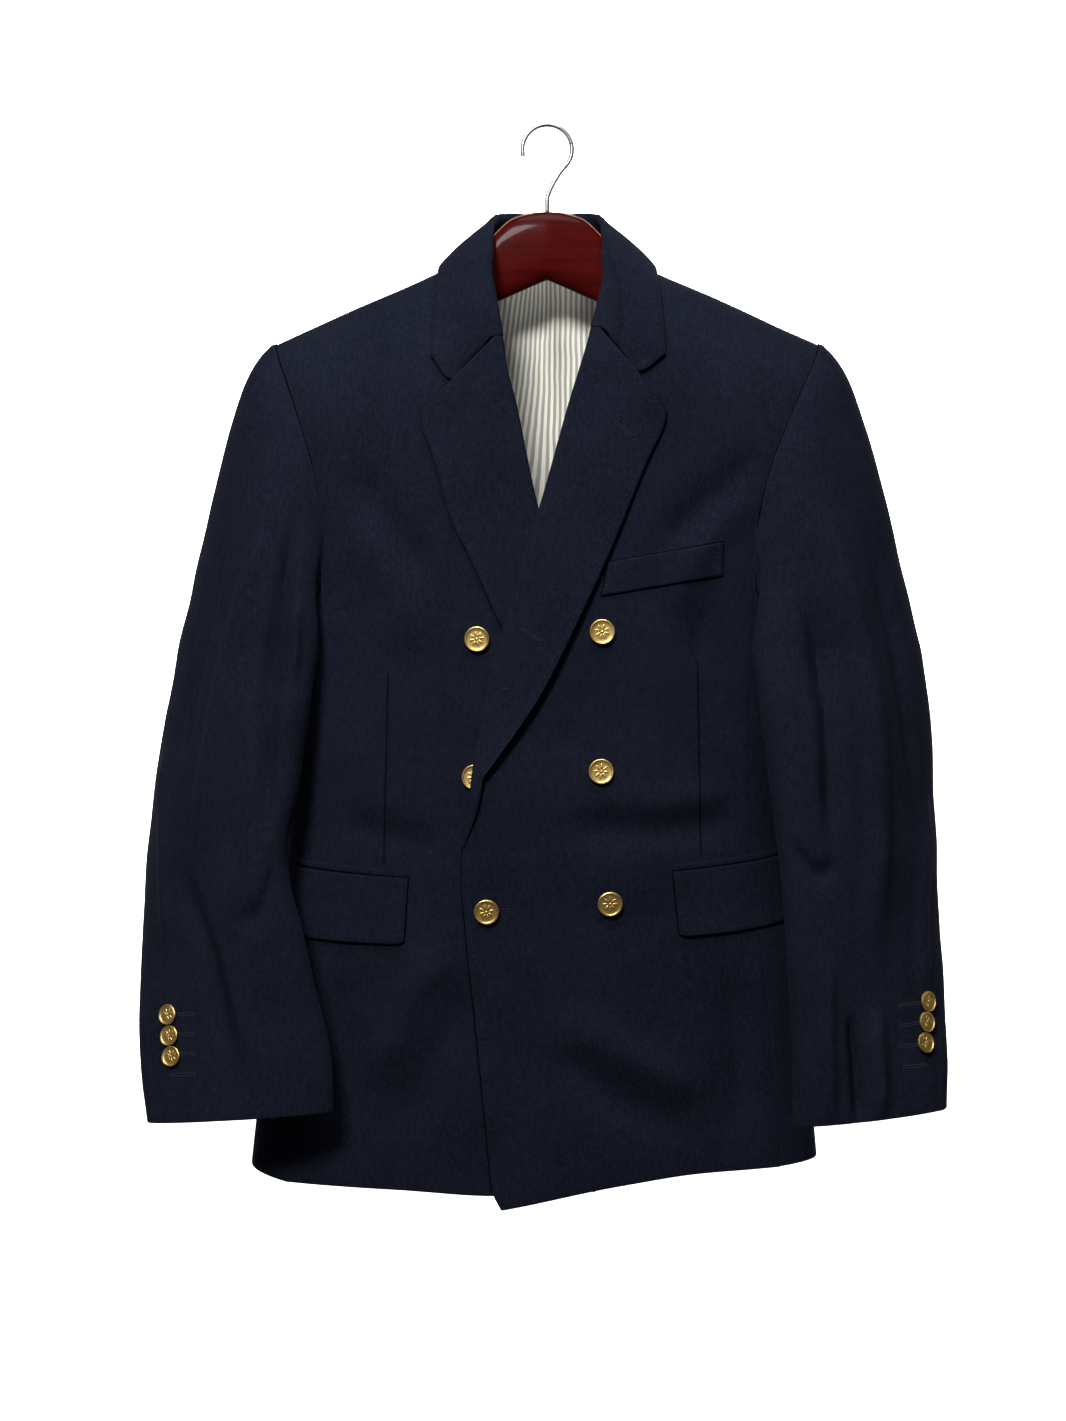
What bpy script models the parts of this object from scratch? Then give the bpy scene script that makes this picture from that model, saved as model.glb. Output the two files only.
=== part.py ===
"""A double-breasted blazer hanging on a wooden hanger, in metres, +Z up.

The origin is the point inside the hook where a rail carries it.  The wearer's
left is at +X and the front faces -Y.  Every cloth panel is a wall whose points
are read from one body surface or one sleeve surface, and what lies on a panel
is made from that panel's points, moved out.
"""

import math
from collections import namedtuple

import bmesh
import bpy
from mathutils import Vector

# ------------------------------------------------------------------ sizes

LEFT, RIGHT = 1, -1
FRONT, BACK = -1, 1

CLOTH = 0.0018            # wool panel with its interlining
LAPEL_CLOTH = 0.0024      # facing and turned front together
LINING_CLOTH = 0.0010
LINING_SLACK = 0.0060
LINING_TOP = 0.0040       # how far the lining stays below the back's top edge
LINING_HEM = 0.0200
SEAM = 0.0005             # space between two pieces at a seam
LAYER = 0.0008            # space under a piece that lies on a panel

NECK_HALF = 0.074         # centre back to the neck point of the shoulder seam
NECK_HEIGHT = -0.1155
NECK_SLOPE = 1.60         # rise of the neck inside the neck point
SHOULDER_SLOPE = 0.445
RIDGE_DROP = 0.120        # how far below the shoulder line the body is full depth
ROUNDNESS = 2.6           # exponent of the body's section

CENTRE_BACK_NECK = -0.094
FRONT_SEAM = 0.857        # side-front seam, as a share of the half width
BACK_SEAM = 0.900
UNDERARM_FRONT = -0.392
UNDERARM_BACK = -0.368
UNDERARM_DIP = 0.045
BACK_HEM = -0.868
SIDE_HEM_RISE = 0.003

BICEP = -0.440            # height of the first level ring of a sleeve
CUFF = -0.822
HEAD_SHARE = 0.40         # share of a sleeve's rows that shape its head
SLEEVE_CLEAR = 0.0065     # how far a sleeve stays off the body's side
SLEEVE_FRONT_SEAM = 168.0
SLEEVE_GAP = 0.50         # half the space at a sleeve's seams, in degrees

Section = namedtuple("Section", "height centre half_width front back")
BODY = [
    Section(-0.900, -0.011, 0.241, 0.051, 0.052),
    Section(-0.750, -0.010, 0.226, 0.053, 0.050),
    Section(-0.650, -0.010, 0.214, 0.054, 0.047),
    Section(-0.560, -0.009, 0.207, 0.055, 0.046),
    Section(-0.480, -0.009, 0.206, 0.056, 0.050),
    Section(-0.400, -0.008, 0.209, 0.058, 0.056),
    Section(-0.320, -0.006, 0.222, 0.058, 0.059),
    Section(-0.250, -0.003, 0.245, 0.056, 0.058),
    Section(-0.180, 0.000, 0.272, 0.055, 0.056),
    Section(-0.060, 0.000, 0.290, 0.055, 0.055),
]

Edge = namedtuple("Edge", "height across")
ARMHOLE_FRONT = [
    Edge(-0.392, 0.1799), Edge(-0.348, 0.179), Edge(-0.318, 0.183),
    Edge(-0.287, 0.190), Edge(-0.250, 0.203), Edge(-0.219, 0.215),
    Edge(-0.200, 0.223), Edge(-0.184, 0.228),
]
ARMHOLE_BACK = [
    Edge(-0.368, 0.1923), Edge(-0.330, 0.191), Edge(-0.290, 0.194),
    Edge(-0.250, 0.203), Edge(-0.215, 0.216), Edge(-0.184, 0.228),
]

# Inner edge of each front, from the hem up its edge, its roll and its neckline.
LEFT_EDGE = [
    Edge(-0.905, -0.0360), Edge(-0.888, -0.0455), Edge(-0.855, -0.0487),
    Edge(-0.780, -0.0562), Edge(-0.712, -0.0635), Edge(-0.660, -0.0684),
    Edge(-0.624, -0.0702), Edge(-0.583, -0.0632), Edge(-0.541, -0.0562),
    Edge(-0.508, -0.0523), Edge(-0.461, -0.0409), Edge(-0.417, -0.0300),
    Edge(-0.362, -0.0138), Edge(-0.308, 0.0026), Edge(-0.243, 0.0206),
    Edge(-0.195, 0.0352), Edge(-0.177, 0.0400), Edge(-0.155, 0.0490),
    Edge(-0.136, 0.0610), Edge(-0.1155, 0.0740),
]
RIGHT_EDGE = [
    Edge(-0.905, 0.0360), Edge(-0.855, 0.0450), Edge(-0.780, 0.0520),
    Edge(-0.700, 0.0600), Edge(-0.622, 0.0640), Edge(-0.590, 0.0600),
    Edge(-0.556, 0.0550), Edge(-0.508, 0.0450), Edge(-0.461, 0.0320),
    Edge(-0.417, 0.0190), Edge(-0.362, 0.0010), Edge(-0.335, -0.0090),
    Edge(-0.308, -0.0158), Edge(-0.243, -0.0290), Edge(-0.210, -0.0371),
    Edge(-0.184, -0.0410), Edge(-0.155, -0.0490), Edge(-0.136, -0.0610),
    Edge(-0.1155, -0.0740),
]

# Outer edge of each lapel, from where it leaves the front's edge to its point.
LEFT_LAPEL = [
    Edge(-0.5790, -0.0610), Edge(-0.5547, -0.0560),
    Edge(-0.5335, -0.0422), Edge(-0.5009, -0.0193), Edge(-0.4748, -0.0030),
    Edge(-0.4153, 0.0263), Edge(-0.3696, 0.0472), Edge(-0.2881, 0.0809),
    Edge(-0.2560, 0.0955), Edge(-0.2481, 0.0965),
]
RIGHT_LAPEL = [
    Edge(-0.5960, 0.0545), Edge(-0.5547, 0.0430), Edge(-0.5335, 0.0320),
    Edge(-0.5009, 0.0130), Edge(-0.4748, -0.0050), Edge(-0.4265, -0.0365),
    Edge(-0.3930, -0.0520), Edge(-0.3644, -0.0651), Edge(-0.3358, -0.0790),
    Edge(-0.2876, -0.0929), Edge(-0.2560, -0.1035), Edge(-0.2476, -0.1043),
]
Gorge = namedtuple("Gorge", "height notch_share")
GORGE = {LEFT: Gorge(-0.1774, 0.55), RIGHT: Gorge(-0.1839, 0.58)}
GORGE_GAP = 0.0012
LAPEL_FOOT = {LEFT: -0.5790, RIGHT: -0.5740}
LAPEL_LEAST = 0.0052      # width that a lapel keeps beside its roll at its foot

Hem = namedtuple("Hem", "across height")
LEFT_HEM = [
    Hem(-0.036, -0.9020), Hem(-0.012, -0.8978), Hem(0.0593, -0.8830),
    Hem(0.125, -0.8740), Hem(0.200, -0.8705),
]
RIGHT_HEM = [
    Hem(-0.225, -0.8830), Hem(-0.1255, -0.8870), Hem(-0.0474, -0.8915),
    Hem(0.040, -0.8880),
]

# Soft folds of the body cloth, as ridges (+) and troughs (-) along a line.
Fold = namedtuple("Fold", "face x0 z0 x1 z1 width height")
FOLDS = [
    Fold(FRONT, 0.165, -0.280, 0.085, -0.360, 0.026, -0.0035),
    Fold(FRONT, 0.150, -0.330, 0.100, -0.420, 0.024, 0.0025),
    Fold(FRONT, -0.165, -0.300, -0.100, -0.380, 0.026, -0.0030),
    Fold(FRONT, -0.010, -0.600, 0.150, -0.590, 0.024, -0.0030),
    Fold(FRONT, -0.180, -0.585, -0.085, -0.600, 0.024, -0.0025),
    Fold(FRONT, -0.075, -0.690, -0.155, -0.800, 0.026, 0.0035),
    Fold(FRONT, -0.035, -0.720, -0.110, -0.850, 0.026, -0.0030),
    Fold(FRONT, 0.030, -0.750, 0.130, -0.815, 0.028, 0.0035),
    Fold(FRONT, 0.010, -0.790, 0.100, -0.850, 0.026, -0.0030),
    Fold(BACK, -0.130, -0.210, -0.060, -0.300, 0.030, -0.0035),
    Fold(BACK, 0.135, -0.215, 0.070, -0.310, 0.028, -0.0035),
    Fold(BACK, -0.160, -0.560, -0.020, -0.540, 0.028, -0.0030),
    Fold(BACK, 0.150, -0.590, 0.030, -0.565, 0.026, -0.0030),
    Fold(BACK, 0.110, -0.660, 0.090, -0.830, 0.034, 0.0040),
    Fold(BACK, -0.090, -0.650, -0.110, -0.820, 0.034, 0.0035),
]

# Sleeve sections below the head; distances are from the garment's middle.
Ring = namedtuple("Ring", "height inner outer inner_y outer_y front back")
SLEEVES = {
    RIGHT: [
        Ring(-0.822, 0.1725, 0.3265, -0.083, -0.066, 0.017, 0.017),
        Ring(-0.780, 0.1750, 0.3340, -0.080, -0.050, 0.022, 0.022),
        Ring(-0.740, 0.1825, 0.3380, -0.077, -0.032, 0.027, 0.027),
        Ring(-0.670, 0.2000, 0.3392, -0.074, -0.010, 0.034, 0.034),
        Ring(-0.610, 0.2120, 0.3372, -0.068, 0.004, 0.040, 0.042),
        Ring(-0.560, 0.2030, 0.3335, -0.066, 0.010, 0.042, 0.048),
        Ring(-0.500, 0.1955, 0.3240, -0.062, 0.012, 0.042, 0.054),
        Ring(-0.440, 0.1880, 0.3130, -0.050, 0.012, 0.040, 0.058),
    ],
    LEFT: [
        Ring(-0.822, 0.1970, 0.3265, -0.085, -0.066, 0.020, 0.020),
        Ring(-0.780, 0.1970, 0.3290, -0.083, -0.050, 0.026, 0.024),
        Ring(-0.740, 0.1962, 0.3296, -0.080, -0.032, 0.031, 0.030),
        Ring(-0.670, 0.1925, 0.3288, -0.076, -0.012, 0.036, 0.036),
        Ring(-0.610, 0.1870, 0.3290, -0.070, 0.002, 0.041, 0.044),
        Ring(-0.560, 0.1820, 0.3275, -0.068, 0.010, 0.042, 0.050),
        Ring(-0.500, 0.1745, 0.3255, -0.064, 0.012, 0.042, 0.056),
        Ring(-0.440, 0.1680, 0.3175, -0.052, 0.012, 0.040, 0.060),
    ],
}
CUFF_TILT = {RIGHT: -0.006, LEFT: 0.006}

# Sleeve folds, by place round the ring in degrees and along the sleeve.
Crease = namedtuple("Crease", "turn0 height0 turn1 height1 width height")
CREASES = {
    RIGHT: [
        Crease(68.0, -0.300, 78.0, -0.610, 15.0, -0.0050),
        Crease(35.0, -0.300, 38.0, -0.560, 13.0, 0.0040),
        Crease(120.0, -0.480, 60.0, -0.560, 16.0, 0.0035),
        Crease(215.0, -0.600, 300.0, -0.620, 22.0, -0.0040),
    ],
    LEFT: [
        Crease(40.0, -0.300, 42.0, -0.600, 13.0, 0.0040),
        Crease(88.0, -0.330, 60.0, -0.420, 15.0, -0.0040),
        Crease(118.0, -0.740, 112.0, -0.830, 13.0, -0.0060),
        Crease(215.0, -0.590, 300.0, -0.610, 22.0, -0.0040),
    ],
}

# The collar, from the centre back (0) over the neck point to the gorge (1).
Station = namedtuple("Station", "share fold_x fold_y fold_z edge_x edge_z edge_face")
COLLAR = [
    Station(0.00, 0.000, 0.0580, -0.0620, 0.000, -0.1080, BACK),
    Station(0.22, 0.027, 0.0510, -0.0628, 0.040, -0.1110, BACK),
    Station(0.38, 0.042, 0.0300, -0.0675, 0.074, -0.1230, BACK),
    Station(0.50, 0.0485, 0.0020, -0.0810, 0.0885, -0.1235, FRONT),
    Station(0.68, 0.0475, -0.0340, -0.1130, 0.0930, -0.1510, FRONT),
    Station(0.84, 0.0425, -0.0530, -0.1490, 0.0950, -0.1800, FRONT),
    Station(1.00, 0.0375, -0.0590, -0.1770, 0.0955, -0.2020, FRONT),
]
NECK_SHARE = 0.50         # where the neck point falls along the collar
FOLD_RADIUS = 0.0024
COLLAR_LIFT = 0.0040
NECK_GAP = 0.0021         # between the collar's stand and the neckline it is sewn to
NECK_MARGIN = 0.0090      # the fall starts to rise over a front this far from its edge
COLLAR_REST = 0.0029      # least distance of the fall's middle line off a panel
SHOULDER_PUFF = 0.0030    # the fall stands off the shoulder seam

# Pockets: corners as (x, z) on the front, and the far end's share of the width.
WELT_CORNERS = ((0.0495, -0.3713), (0.1435, -0.3537), (0.1435, -0.3812), (0.0435, -0.3987))
Pocket = namedtuple("Pocket", "jet_top flap_top flap_foot jet_rise flap_rise")
POCKETS = {
    LEFT: Pocket((0.1015, -0.6185), (0.1023, -0.6245), (0.1080, -0.6781), 0.0115, 0.0115),
    RIGHT: Pocket((-0.1131, -0.6243), (-0.1148, -0.6300), (-0.1181, -0.6848), 0.0100, 0.0080),
}
POCKET_END = 0.950
JET_HEIGHT = 0.0052

FRONT_BUTTON = 0.01035    # radius of a front button
CUFF_BUTTON = 0.00830
BUTTON_GAP = 0.0003
CUFF_BUTTON_GAP = 0.0007
FRONT_BUTTONS = [
    (-0.0578, -0.4337), (0.0441, -0.4279), (-0.0600, -0.5470),
    (0.0432, -0.5420), (-0.0500, -0.6568), (0.0507, -0.6500),
]
CUFF_BUTTONS = {
    RIGHT: [(-0.3088, -0.7408), (-0.3075, -0.7571), (-0.3052, -0.7723)],
    LEFT: [(0.3080, -0.7303), (0.3069, -0.7465), (0.3053, -0.7634)],
}

Arm = namedtuple("Arm", "across top foot half_thick")
HANGER = [
    Arm(0.000, -0.0717, -0.1290, 0.0085), Arm(0.014, -0.0729, -0.1350, 0.0085),
    Arm(0.028, -0.0765, -0.1412, 0.0085), Arm(0.044, -0.0900, -0.1483, 0.0085),
    Arm(0.060, -0.1130, -0.1553, 0.0084), Arm(0.078, -0.1238, -0.1630, 0.0086),
    Arm(0.110, -0.1345, -0.1770, 0.0092), Arm(0.160, -0.1567, -0.1990, 0.0098),
    Arm(0.195, -0.1725, -0.2120, 0.0095), Arm(0.210, -0.1815, -0.2100, 0.0065),
]
HOOK_WIRE = 0.0019        # radius of the steel wire
HOOK_INNER = 0.0190       # radius inside the hook

NAVY = (0.018, 0.021, 0.034)
SATIN_GOLD = (0.72, 0.53, 0.28)

# ------------------------------------------------------------- small maths


def clamp(value, low=0.0, high=1.0):
    return max(low, min(high, value))


def mix(a, b, share):
    return a + (b - a) * share


def smooth(share):
    share = clamp(share)
    return share * share * (3.0 - 2.0 * share)


def signed_power(value, power):
    return math.copysign(abs(value) ** power, value)


def read(table, column, at):
    """A column of a table at a place along its first column, with no overshoot."""
    if at <= table[0][0]:
        return getattr(table[0], column)
    if at >= table[-1][0]:
        return getattr(table[-1], column)
    row = max(i for i in range(len(table) - 1) if table[i][0] <= at)
    span = table[row + 1][0] - table[row][0]
    start, end = getattr(table[row], column), getattr(table[row + 1], column)

    def rise(i):
        if i < 0 or i + 1 >= len(table):
            return None
        gap = table[i + 1][0] - table[i][0]
        return (getattr(table[i + 1], column) - getattr(table[i], column)) / gap

    def tangent(before, after):
        if before is None or after is None:
            return after if before is None else before
        if before * after <= 0.0:
            return 0.0
        return 2.0 * before * after / (before + after)

    slope0 = tangent(rise(row - 1), rise(row)) * span
    slope1 = tangent(rise(row), rise(row + 1)) * span
    t = (at - table[row][0]) / span
    return (
        start * (2 * t**3 - 3 * t**2 + 1) + slope0 * (t**3 - 2 * t**2 + t)
        + end * (3 * t**2 - 2 * t**3) + slope1 * (t**3 - t**2)
    )


def along_fold(place, start, end, width):
    """How strongly a fold that runs from start to end acts at a place, 0 to 1."""
    line = Vector(end) - Vector(start)
    offset = Vector(place) - Vector(start)
    share = offset.dot(line) / line.length_squared
    distance = (offset - line * clamp(share)).length
    fade = smooth(share / 0.30 + 0.5) * smooth((1.0 - share) / 0.30 + 0.5)
    return fade * math.exp(-((distance / width) ** 2) * 2.0)


# ---------------------------------------------------------- body surface


def ridge(x):
    """Height of the shoulder line, and of the neck that it runs up to."""
    inside = NECK_HALF - abs(x)
    slope = NECK_SLOPE if inside > 0.0 else SHOULDER_SLOPE
    return NECK_HEIGHT + slope * inside


def row_top(x):
    """Where a front's rows start: the shoulder line, levelled over the neck."""
    inside = NECK_HALF - abs(x)
    if inside <= 0.0:
        return ridge(x)
    return NECK_HEIGHT + SHOULDER_SLOPE * inside * (1.0 - inside / (2.0 * NECK_HALF))


def section(z):
    return [read(BODY, column, z) for column in ("centre", "half_width", "front", "back")]


def depth_squared(x, z, face):
    """Square of the body's depth in front of (or behind) the shoulder line."""
    centre, half, front, back = section(z)
    across = clamp(abs(x - centre) / half, 0.0, 0.9999)
    side = (1.0 - across**ROUNDNESS) ** (2.0 / ROUNDNESS)
    drop = min((ridge(x) - z) / RIDGE_DROP, 1.0)
    depth = front if face == FRONT else back
    return depth * depth * side * drop * (2.0 - drop)


def fold_height(x, z, face):
    """Height of the body's folds, which die out toward the side seams."""
    centre, half = section(z)[:2]
    total = 0.0
    for fold in FOLDS:
        if fold.face == face:
            reach = along_fold((x, z), (fold.x0, fold.z0), (fold.x1, fold.z1), fold.width)
            total += fold.height * reach
    return total * smooth((half * FRONT_SEAM - abs(x - centre)) / 0.030)


def on_body(x, z, face, lift=0.0):
    """A point on the body's cloth, moved out by lift."""
    step = 0.0002
    y = face * math.sqrt(max(depth_squared(x, z, face), 0.0))
    slope_x = (depth_squared(x + step, z, face) - depth_squared(x - step, z, face)) / (2 * step)
    slope_z = (depth_squared(x, z + step, face) - depth_squared(x, z - step, face)) / (2 * step)
    outward = Vector((-slope_x, 2.0 * y, -slope_z)).normalized()
    return Vector((x, y, z)) + outward * (lift + fold_height(x, z, face))


def turned(share, side, z, lift):
    """A point round the body's side: share 0 at the side-front seam, 1 at the back."""
    start = math.asin(FRONT_SEAM ** (ROUNDNESS / 2.0))
    end = math.pi - math.asin(BACK_SEAM ** (ROUNDNESS / 2.0))
    angle = mix(start, end, share)
    centre, half, front, back = section(z)
    depth = front if angle < math.pi / 2 else back
    sine, cosine = math.sin(angle), math.cos(angle)
    x = half * sine ** (2.0 / ROUNDNESS)
    y = -depth * signed_power(cosine, 2.0 / ROUNDNESS)
    outward = Vector((
        side * (x / half) ** (ROUNDNESS - 1) / half,
        signed_power(y / depth, ROUNDNESS - 1) / depth,
        0.0,
    )).normalized()
    return Vector((centre + side * x, y, z)) + outward * lift


def clear_of_side(point):
    """Move a sleeve's point out so that it lies against the body's side."""
    if point.z > UNDERARM_BACK + 0.010:
        return point
    margin = SLEEVE_CLEAR * smooth((UNDERARM_BACK + 0.010 - point.z) / 0.080)
    centre, half, front, back = section(point.z)
    wide = half + margin
    deep = (front if point.y < 0.0 else back) + margin
    inside = (abs(point.x - centre) / wide) ** ROUNDNESS + abs(point.y / deep) ** ROUNDNESS
    if inside >= 1.0:
        return point
    grow = inside ** (-1.0 / ROUNDNESS)
    return Vector((centre + (point.x - centre) * grow, point.y * grow, point.z))


# ------------------------------------------------------------ mesh makers


def finish(name, mesh, colour, roughness, metallic=0.0, smooth_shade=False):
    """Turn a bmesh into a named object with its own material."""
    data = bpy.data.meshes.new(name)
    mesh.to_mesh(data)
    mesh.free()
    if smooth_shade:
        data.shade_smooth()
        data.set_sharp_from_angle(angle=math.radians(40.0))
    thing = bpy.data.objects.new(name, data)
    bpy.context.scene.collection.objects.link(thing)
    paint(thing, colour, roughness, metallic)
    return thing


def paint(thing, colour, roughness, metallic):
    material = bpy.data.materials.new(thing.name)
    material.use_nodes = True
    shader = material.node_tree.nodes["Principled BSDF"]
    shader.inputs["Base Color"].default_value = (*colour, 1.0)
    shader.inputs["Roughness"].default_value = roughness
    shader.inputs["Metallic"].default_value = metallic
    thing.data.materials.append(material)


def wall(name, place, columns, rows, colour=NAVY, roughness=0.85):
    """A closed wall of cloth: place(u, v, inner) puts the points of a flat slab."""
    mesh = bmesh.new()
    bmesh.ops.create_grid(mesh, x_segments=columns, y_segments=rows, size=0.5)
    lower = bmesh.ops.extrude_face_region(mesh, geom=mesh.faces[:], use_keep_orig=True)
    for element in lower["geom"]:
        if isinstance(element, bmesh.types.BMVert):
            element.co.z = 1.0
    for vertex in mesh.verts:
        column = round((vertex.co.x + 0.5) * columns)
        row = round((vertex.co.y + 0.5) * rows)
        vertex.co = place(column / columns, row / rows, vertex.co.z > 0.5)
    bmesh.ops.recalc_face_normals(mesh, faces=mesh.faces)
    return finish(name, mesh, colour, roughness, smooth_shade=True)


def surface_normal(surface, u, v, step=0.002):
    """Normal of a surface(u, v) from its neighbouring points, pointing outward."""
    along_u = surface(u + step, v) - surface(u - step, v)
    along_v = surface(u, v + step) - surface(u, v - step)
    return along_u.cross(along_v).normalized()


# ------------------------------------------------------------ body panels


def drop_at(share, total):
    """How far below the shoulder line a row lies: close rows over the ridge."""
    curved = 0.30
    if share < curved:
        return RIDGE_DROP * (share / curved) ** 2
    return RIDGE_DROP + (total - RIDGE_DROP) * (share - curved) / (1.0 - curved)


def side_line(z, side, front):
    """x of a panel's outer edge: the side seam, and above it the armhole."""
    table = ARMHOLE_FRONT if front else ARMHOLE_BACK
    seam = FRONT_SEAM if front else BACK_SEAM
    centre, half = section(z)[:2]
    out = read(table, "across", z) if z >= table[0].height else half * seam
    return centre + side * (out - SEAM / 2)


def row_meets(share, edge, top, hem):
    """Where a row crosses an edge x = edge(z), found by stepping to and fro."""
    x = edge(top(0.0) - share * 0.6)
    for _ in range(24):
        z = top(x) - drop_at(share, top(x) - hem(x))
        x = mix(x, edge(z), 0.7)
    return x


def front_edge(side, z):
    return read(LEFT_EDGE if side == LEFT else RIGHT_EDGE, "across", z)


def front_hem(side, x):
    return read(LEFT_HEM if side == LEFT else RIGHT_HEM, "height", x)


def front_lift(side, x, z):
    """The left front lies over the right one, its lapel and two of its buttons."""
    if side == RIGHT:
        return 0.0
    over_lapel = 0.0050 * smooth((z + 0.670) / 0.060)
    button_room = 0.0034 * math.exp(-(((x + 0.058) / 0.026) ** 2 + ((z + 0.547) / 0.030) ** 2))
    overlap = smooth((0.145 - x) / 0.075)
    near_neck = smooth((-0.150 - z) / 0.060)
    return (CLOTH + 2 * LAYER + over_lapel) * overlap * near_neck + button_room


def front_panel(side):
    def top(x):
        return row_top(x)

    def hem(x):
        return front_hem(side, x)

    rows = 24
    crossings = []
    for row in range(rows + 1):
        share = 1.0 - row / rows
        inner = row_meets(share, lambda z: front_edge(side, z), top, hem)
        outer = row_meets(share, lambda z: side_line(z, side, True), top, hem)
        crossings.append((inner, outer))

    def place(u, v, inside):
        inner, outer = crossings[round(v * rows)]
        x = mix(inner, outer, u)
        z = top(x) - drop_at(1.0 - v, top(x) - hem(x))
        lift = front_lift(side, x, z) - (CLOTH if inside else 0.0)
        point = on_body(x, z, FRONT, lift)
        if v == 1.0:
            point.y -= SEAM / 2
        return point

    name = "front_left" if side == LEFT else "front_right"
    return wall(name, place, 14, rows)


def back_neck(x):
    """Top edge of the back: its neckline, and the shoulder seam beyond it."""
    across = abs(x) / NECK_HALF
    if across >= 1.0:
        return ridge(x)
    return mix(CENTRE_BACK_NECK, NECK_HEIGHT, across**2.2)


def back_grid(side, rows):
    def hem(x):
        return BACK_HEM

    reach = []
    for row in range(rows + 1):
        share = 1.0 - row / rows
        outer = row_meets(share, lambda z: side_line(z, side, False), back_neck, hem)
        reach.append(outer)
    return reach


def back_panel(side):
    rows = 20
    reach = back_grid(side, rows)

    def place(u, v, inside):
        x = mix(side * SEAM / 2, reach[round(v * rows)], u)
        z = back_neck(x) - drop_at(1.0 - v, back_neck(x) - BACK_HEM)
        point = on_body(x, z, BACK, -CLOTH if inside else 0.0)
        if v == 1.0:
            point.y += SEAM / 2
        return point

    return wall("back_left" if side == LEFT else "back_right", place, 8, rows)


def lining_panel(side):
    """The back lining: sewn in along its edges, and loose inside the back's folds."""
    rows = 20
    reach = back_grid(side, rows)

    def place(u, v, inside):
        x = mix(side * SEAM, reach[round(v * rows)], 0.985 * u)
        top = back_neck(x) - LINING_TOP
        z = top - drop_at(1.0 - v, top - BACK_HEM - LINING_HEM)
        loose = LINING_SLACK * smooth((1.0 - v) / 0.30) * smooth(v / 0.15)
        depth = CLOTH + LAYER + loose + (LINING_CLOTH if inside else 0.0)
        return on_body(x, z, BACK, -depth)

    name = "lining_left" if side == LEFT else "lining_right"
    return wall(name, place, 8, rows, (0.62, 0.58, 0.50), 0.45)


def underarm(share):
    """Height of the armhole's lowest stretch, from the side-front seam back."""
    level = mix(UNDERARM_FRONT, UNDERARM_BACK, share)
    return level - UNDERARM_DIP * math.sin(math.pi * share)


def side_panel(side):
    def place(u, v, inside):
        share = mix(0.006, 0.994, u)
        hem = mix(front_hem(side, side * 0.21), BACK_HEM, u) + SIDE_HEM_RISE * math.sin(math.pi * u)
        z = mix(hem, underarm(share), v)
        return turned(share, side, z, -CLOTH if inside else 0.0)

    return wall("side_left" if side == LEFT else "side_right", place, 5, 12)


# ---------------------------------------------------------------- sleeves


def armhole(side, turn):
    """A point of the armhole: 0 at the shoulder, 170 low in front, 240 low at the back."""
    if 0.0 <= turn <= 170.0:
        share = (turn / 170.0) ** 1.5
        z = mix(ARMHOLE_FRONT[-1].height, UNDERARM_FRONT, share)
        x = side_line(z, side, True)
        return on_body(x, z, FRONT)
    if 170.0 < turn < 240.0:
        share = (turn - 170.0) / 70.0
        return turned(share, side, underarm(share), 0.0)
    share = (abs(turn if turn < 0.0 else 360.0 - turn) / 120.0) ** 1.5
    z = mix(ARMHOLE_BACK[-1].height, UNDERARM_BACK, share)
    return on_body(side_line(z, side, False), z, BACK)


def sleeve_ring(side, turn, z):
    """A point of the sleeve's level section at height z."""
    table = SLEEVES[side]
    inner, outer, inner_y, outer_y, front, back = (
        read(table, column, z) for column in Ring._fields[1:]
    )
    sine, cosine = math.sin(math.radians(turn)), math.cos(math.radians(turn))
    bulge = front if sine > 0.0 else back
    x = mix(inner, outer, 0.5 + 0.5 * cosine)
    y = mix(inner_y, outer_y, 0.5 + 0.5 * cosine) - bulge * sine
    tilt = CUFF_TILT[side] * cosine * smooth((-0.740 - z) / 0.080)
    return clear_of_side(Vector((side * x, y, z + tilt)))


def sleeve_head(side, turn, share):
    """A point of the sleeve head, on a curve from the armhole to the bicep ring."""
    start = armhole(side, turn)
    end = sleeve_ring(side, turn, BICEP)
    top = 0.5 + 0.5 * math.cos(math.radians(turn if turn < 180.0 else (turn - 360.0)))
    forward = math.sin(math.radians(turn))
    away = Vector((side * mix(0.30, 1.0, top), -0.55 * forward, mix(-0.9, 0.10, top)))
    start = start + Vector((side * (SEAM + 0.0004), 0.0, 0.0))
    first = start + away * mix(0.010, 0.034, top)
    second = end + Vector((side * -0.028 * top, 0.0, mix(0.024, 0.113, top)))
    curve = (
        start * (1 - share) ** 3 + first * 3 * share * (1 - share) ** 2
        + second * 3 * share**2 * (1 - share) + end * share**3
    )
    return curve.lerp(clear_of_side(curve), smooth(share / 0.15))


def sleeve_point(side, turn, v):
    """A point of a sleeve's outside: v 0 at the armhole, 1 at the cuff."""
    if v < HEAD_SHARE:
        point = sleeve_head(side, turn, v / HEAD_SHARE)
    else:
        z = mix(BICEP, CUFF, (v - HEAD_SHARE) / (1.0 - HEAD_SHARE))
        point = sleeve_ring(side, turn, z)
    return point


def creased_sleeve(side, turn, v):
    point = sleeve_point(side, turn, v)
    height = 0.0
    for crease in CREASES[side]:
        scale = crease.width / 0.030
        reach = along_fold(
            (turn / scale, point.z), (crease.turn0 / scale, crease.height0),
            (crease.turn1 / scale, crease.height1), 0.030,
        ) if abs(turn - crease.turn0) < 90.0 else 0.0
        height += crease.height * reach
    if height == 0.0:
        return point

    def plain(u, w):
        return sleeve_point(side, u * 60.0, w)

    outward = surface_normal(plain, turn / 60.0, clamp(v, 0.004, 0.996)) * side
    return point + outward * height


def back_seam_turn(v):
    """The sleeve's back seam drifts to the outer edge on its way to the cuff."""
    return mix(-72.0, 8.0, smooth((v - 0.30) / 0.60))


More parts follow.
